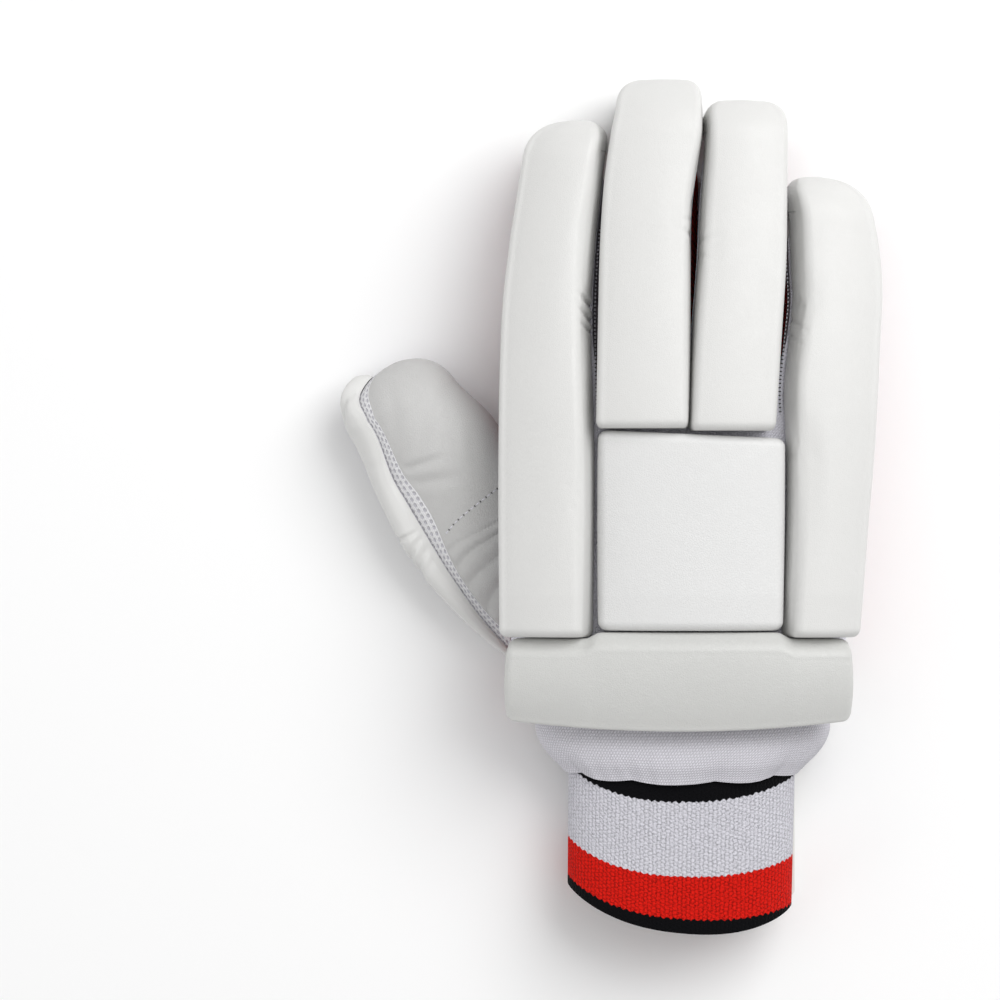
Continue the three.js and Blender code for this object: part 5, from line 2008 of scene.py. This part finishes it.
class GLOVE_OT_cuff(GloveOperator, Operator):
    """Add the gathered skirt and the knitted wristband"""

    bl_idname = "mesh.glove_cuff"
    bl_label = "Skirt and Wristband"

    def build(self, shape, colours):
        gather = shape.gather_depth * MILLIMETRES
        cloth = material("skirt_cloth", woven, colours.skirt, shade(colours.skirt, 1.4))
        outer = skirt_grid(0.0, gather)
        grids = outer, skirt_grid(SKIRT_WALL, gather), outer
        add_wall("skirt_cloth", grids, cloth, "woven_lining", "skirt")
        angle = band_angles(420)[None, :]
        along = np.linspace(0, 1, 110)[:, None]
        outer = band_point(angle, along, 0.0)
        inner = band_point(angle, along, BAND_WALL)
        places = cloth_places(outer, True)
        around = np.append(angle, angle[:, :1], axis=1)
        places[..., 1] = along * BAND_PLACES + stripe_rise(around, along)
        knit = material("striped_knit", striped_knit, colours, STRIPE_BORDERS)
        skin = wall_skin(outer, inner, True, places)
        piece = fit(place_piece("wristband_knit", skin, knit), "striped_knit", "wristband")


class GLOVE_OT_strap(GloveOperator, Operator):
    """Add the fastening strap, its hook patch and the rolled edge of the slit"""

    bl_idname = "mesh.glove_strap"
    bl_label = "Strap"

    def build(self, shape, colours):
        hide = leather_of("strap_leather", colours.palm)
        outer = strap_grid(-1)
        grids = outer, strap_grid(1), outer
        add_wall("strap_face", grids, hide, "strap_leather", "strap")
        hooks = material("hook_cloth", hook_cloth, colours.cloth)
        skin = sheet_skin(
            self.patch(), [], 2.0,
            lambda x, y: np.full_like(x, STRAP_WALL + SEAM_GAP),
            lambda x, y: np.full_like(x, STRAP_WALL + SEAM_GAP + HOOK_WALL),
        )
        fit(place_piece("hook_patch", skin, hooks), "hook_cloth", "strap_hook")
        line = smooth_line(EDGING_PATH["rows"], 1.0)
        skin = loft_skin(tube_grid(line, EDGING_RADIUS))
        fit(place_piece("slit_edging", skin, hide), "strap_leather", "vent_edging")

    def patch(self):
        """The hook patch's outline: a rectangle with two round corners."""
        left = -STRAP_FREE_END - 3.5
        right = left + 30
        top = -STRAP_TOP - 1.5
        bottom = -STRAP_BOTTOM + 1.5
        angle = np.linspace(np.pi / 2, np.pi, 10)
        turn = STRAP_CORNER * np.column_stack([np.cos(angle), np.sin(angle)])
        upper = turn + (left + STRAP_CORNER, top - STRAP_CORNER)
        lower = turn[::-1] * (1, -1) + (left + STRAP_CORNER, bottom + STRAP_CORNER)
        loop = np.vstack([[right, top], upper, lower, [right, bottom], [right, top]])
        return resample(loop, 1.5)[:-1]


class GLOVE_OT_stitching(GloveOperator, Operator):
    """Add the rows of thread and needle holes on the palm, the strap, the thumb and the lining"""

    bl_idname = "mesh.glove_stitching"
    bl_label = "Stitching"

    def build(self, shape, colours):
        pitch = shape.stitch_pitch * MILLIMETRES
        length = shape.stitch_length * MILLIMETRES
        radius = shape.thread_radius * MILLIMETRES
        white = material("thread", thread, shade(colours.cloth, 1.1))
        # The needle holes are nearly black tubes sunk into the surface: painted shade for the inside of each
        # hole.
        dark = material("needle_holes", thread, shade(colours.cloth, 0.12))
        rows = {
            "palm": (self.palm(shape), pitch, 0.42),
            "strap": (self.strap(), pitch * 1.3, 0.42),
            "thumb": (self.thumb(), pitch * 1.3, 0.55),
            "web": (self.web(), pitch * 1.2, 0.3),
            "lining": (self.lining(), pitch * 0.75, 0.6),
        }
        for name, (lines, step, hole) in rows.items():
            threads = [stitch_skin(line, up, step, length * step / pitch, radius) for line, up in lines]
            holes = [stitch_skin(line, up, step, hole, 0.75 * hole, -0.35 * hole, 0.5) for line, up in lines]
            slot = "palm_leather" if name == "palm" else "binding_cloth"
            fit(place_piece(name + "_thread", joined(threads), white), slot)
            fit(place_piece(name + "_needle_holes", joined(holes), dark), slot)

    def palm(self, shape):
        """Two rows round the bay, and one inside the tongues' edges that dips at each crotch."""
        surface = palm_lower(shape.crease_depth * MILLIMETRES, palm_outline())
        edge = BINDING_RADIUS + SEAM_GAP
        bay = bay_line()
        flat = [
            pushed(bay, -2.6)[5:-5],
            pushed(bay, -5.6)[8:-8],
            resample(tongue_lines(0, edge, binding_ends, -edge - 1.6, 2.6), 0.9),
        ]
        down = np.array([0.0, 0.0, -1.0])
        return [(xyz(p[:, 0], p[:, 1], surface(*p.T)), np.tile(down, (len(p), 1))) for p in flat]

    def strap(self):
        """One row inside the strap's edge, on its outer face."""
        inset = 2.0
        far = BAND_CENTRE + BAND_WIDTH / 2 + STRAP_FREE_END
        radius = STRAP_CORNER - inset
        angle = np.linspace(np.pi / 2, np.pi, 12)
        turn = radius * np.column_stack([np.cos(angle), np.sin(angle)]) + (STRAP_CORNER, 0)
        upper = turn + (0, -STRAP_TOP - STRAP_CORNER)
        lower = turn[::-1] * (1, -1) + (0, -STRAP_BOTTOM + STRAP_CORNER)
        ends = [[far, -STRAP_TOP - inset]], [[far, -STRAP_BOTTOM + inset]]
        line = resample(np.vstack([ends[0], upper, lower, ends[1]]), 1.0)
        length = STRAP_FREE_END - STRAP_TURN + BAND_CENTRE + BAND_WIDTH / 2 + 0.7 * STRAP_TURN * math.pi / 2
        x, z, nx, nz = strap_line(line[:, 0] / length)
        up = -xyz(nx, 0.0, nz)
        below = line[:, 1] < -STRAP_BOTTOM + STRAP_CORNER
        rise = STRAP_TAPER * smoothstep(line[:, 0] / length, 0.72, 1.0) * below
        middle = xyz(x, line[:, 1] + rise, z)
        return [(middle + up * (STRAP_WALL / 2 - 0.2), up)]

    def thumb(self):
        """The dotted row over the thumb's back."""
        outer = thumb_grids(THUMB_START, 1, 200, 100, seam("hand"), seam("leather"), 0.0, 0.0)[0]
        back = smooth_line([(-83.8, -10.2), (-78.5, -4.4), (-66.1, 5.4), (-58.0, 11.0)], 0.6)
        up = np.tile([0.0, 0.0, 1.0], (len(back), 1))
        return [(draped(back, outer), up)]

    def web(self):
        """The row across the web, on its palm side."""
        outer = thumb_grids(0, WEB_END, 90, 24, seam("web", 0.3), steady(-1.0), 0.0, 0.0)[0]
        across = smooth_line([(-35.5, 3.3), (-25.0, 3.1), (-15.5, 3.6)], 0.6)
        return [(draped(across, outer), np.tile([0.0, 0.0, -1.0], (len(across), 1)))]

    def lining(self):
        """Rows beside the index pad and the little pad, above the square pad."""
        lines = []
        for f, side in ((FINGERS[0], 1), (FINGERS[3], -1)):
            y = np.arange(SQUARE_TOP + 5, 96.0, 1.0)
            centre, half, _ = pad_frame(f, y)
            lines.append(np.column_stack([centre + side * (half + 1.0), y]))
        up = np.array([0.0, 0.0, 1.0])
        return [(xyz(p[:, 0], p[:, 1], back_z(*p.T) - SEAM_GAP), np.tile(up, (len(p), 1))) for p in lines]


PICTURE_MIDDLE = (-64.94, 1.7)


class GLOVE_OT_stage(Operator):
    """Add the floor, the soft lights and the camera over the glove"""

    bl_idname = "mesh.glove_stage"
    bl_label = "Stage"
    bl_options = {"REGISTER", "UNDO"}

    def execute(self, context):
        """Builds the stage."""
        studio = context.scene.glove_studio
        self.floor(studio)
        self.lights(context, studio)
        self.camera(context, studio)
        return {"FINISHED"}

    def floor(self, studio):
        """A wide pale plane just under the glove."""
        half = 4.0
        f = Finish("floor", studio.floor, 0.9)
        tone = f.noise(3.0)
        f.colour(f.mix(tone, shade(studio.floor, 0.995), shade(studio.floor, 1.005)))
        mesh = bpy.data.meshes.new("floor")
        corners = [(-half, -half), (half, -half), (half, half), (-half, half)]
        mesh.from_pydata([(x, y, -0.0003) for x, y in corners], [], [(0, 1, 2, 3)])
        mesh.materials.append(f.material)
        floor = bpy.data.objects.new("floor", mesh)
        bpy.context.scene.collection.objects.link(floor)
        floor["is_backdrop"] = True

    def lights(self, context, studio):
        """A soft key from beyond the fingertips on the right, a wide fill overhead, a weak light from the
        thumb's side and an even world."""
        for name, power, size, place in (
            ("key", studio.key_power, 1.2, (0.72, 0.72, 1.18)),
            ("fill", studio.fill_power, 2.4, (-0.1, 0.2, 2.3)),
            ("side", studio.side_power, 1.2, (-1.3, -0.35, 0.5)),
        ):
            light = bpy.data.lights.new(name, "AREA")
            light.energy = power
            light.size = size
            lamp = bpy.data.objects.new(name, light)
            lamp.location = place
            lamp.rotation_euler = (-Vector(place)).to_track_quat("-Z", "Y").to_euler()
            context.scene.collection.objects.link(lamp)
        world = bpy.data.worlds.new("studio")
        world.use_nodes = True
        sky = world.node_tree.nodes["Background"]
        sky.inputs["Color"].default_value = (1.0, 1.0, 1.0, 1.0)
        sky.inputs["Strength"].default_value = 0.42
        context.scene.world = world
        context.scene.view_settings.view_transform = "Standard"

    def camera(self, context, studio):
        """A camera straight above the picture's middle, which lies to the thumb's side of the glove."""
        lens = bpy.data.cameras.new("camera")
        lens.sensor_width = 36.0
        lens.lens = lens.sensor_width * studio.camera_height / studio.picture_width
        camera = bpy.data.objects.new("camera", lens)
        middle = (np.array(PICTURE_MIDDLE) + SHIFT[:2]) / MILLIMETRES
        glove_middle = (cad_low.z + cad_high.z) / 2
        camera.location = (middle[0], middle[1], glove_middle + studio.camera_height)
        context.scene.collection.objects.link(camera)
        context.scene.camera = camera


class GLOVE_PT_panel(Panel):
    """The glove's steps and settings in the sidebar"""

    bl_label = "Batting Glove"
    bl_space_type = "VIEW_3D"
    bl_region_type = "UI"
    bl_category = "Glove"

    def draw(self, context):
        """Lists the operators, then the settings of each group."""
        for step in STEPS:
            self.layout.operator(step.bl_idname)
        for group in ("glove_shape", "glove_colours", "glove_studio"):
            settings = getattr(context.scene, group)
            for name in settings.__annotations__:
                self.layout.prop(settings, name)


STEPS = (
    GLOVE_OT_finger_pads,
    GLOVE_OT_back_pads,
    GLOVE_OT_stall_walls,
    GLOVE_OT_sheets,
    GLOVE_OT_thumb,
    GLOVE_OT_cuff,
    GLOVE_OT_strap,
    GLOVE_OT_stitching,
    GLOVE_OT_stage,
)
GROUPS = {"glove_shape": GloveShape, "glove_colours": GloveColours, "glove_studio": GloveStudio}


def register():
    """Registers the classes, and gives each scene its settings."""
    for item in (*GROUPS.values(), *STEPS, GLOVE_PT_panel):
        bpy.utils.register_class(item)
    for name, group in GROUPS.items():
        setattr(bpy.types.Scene, name, PointerProperty(type=group))


def unregister():
    """Takes the settings and the classes away again."""
    for name in GROUPS:
        delattr(bpy.types.Scene, name)
    for item in reversed((*GROUPS.values(), *STEPS, GLOVE_PT_panel)):
        bpy.utils.unregister_class(item)


def main():
    register()
    for step in STEPS:
        module, name = step.bl_idname.split(".")
        result = getattr(getattr(bpy.ops, module), name)()
        if result != {"FINISHED"}:
            raise RuntimeError(f"{step.bl_idname} did not finish: {result}")
    low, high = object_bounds()
    boxes = {"cad": [list(cad_low), list(cad_high)], "visual": [list(low), list(high)]}


if __name__ == "__main__":
    main()
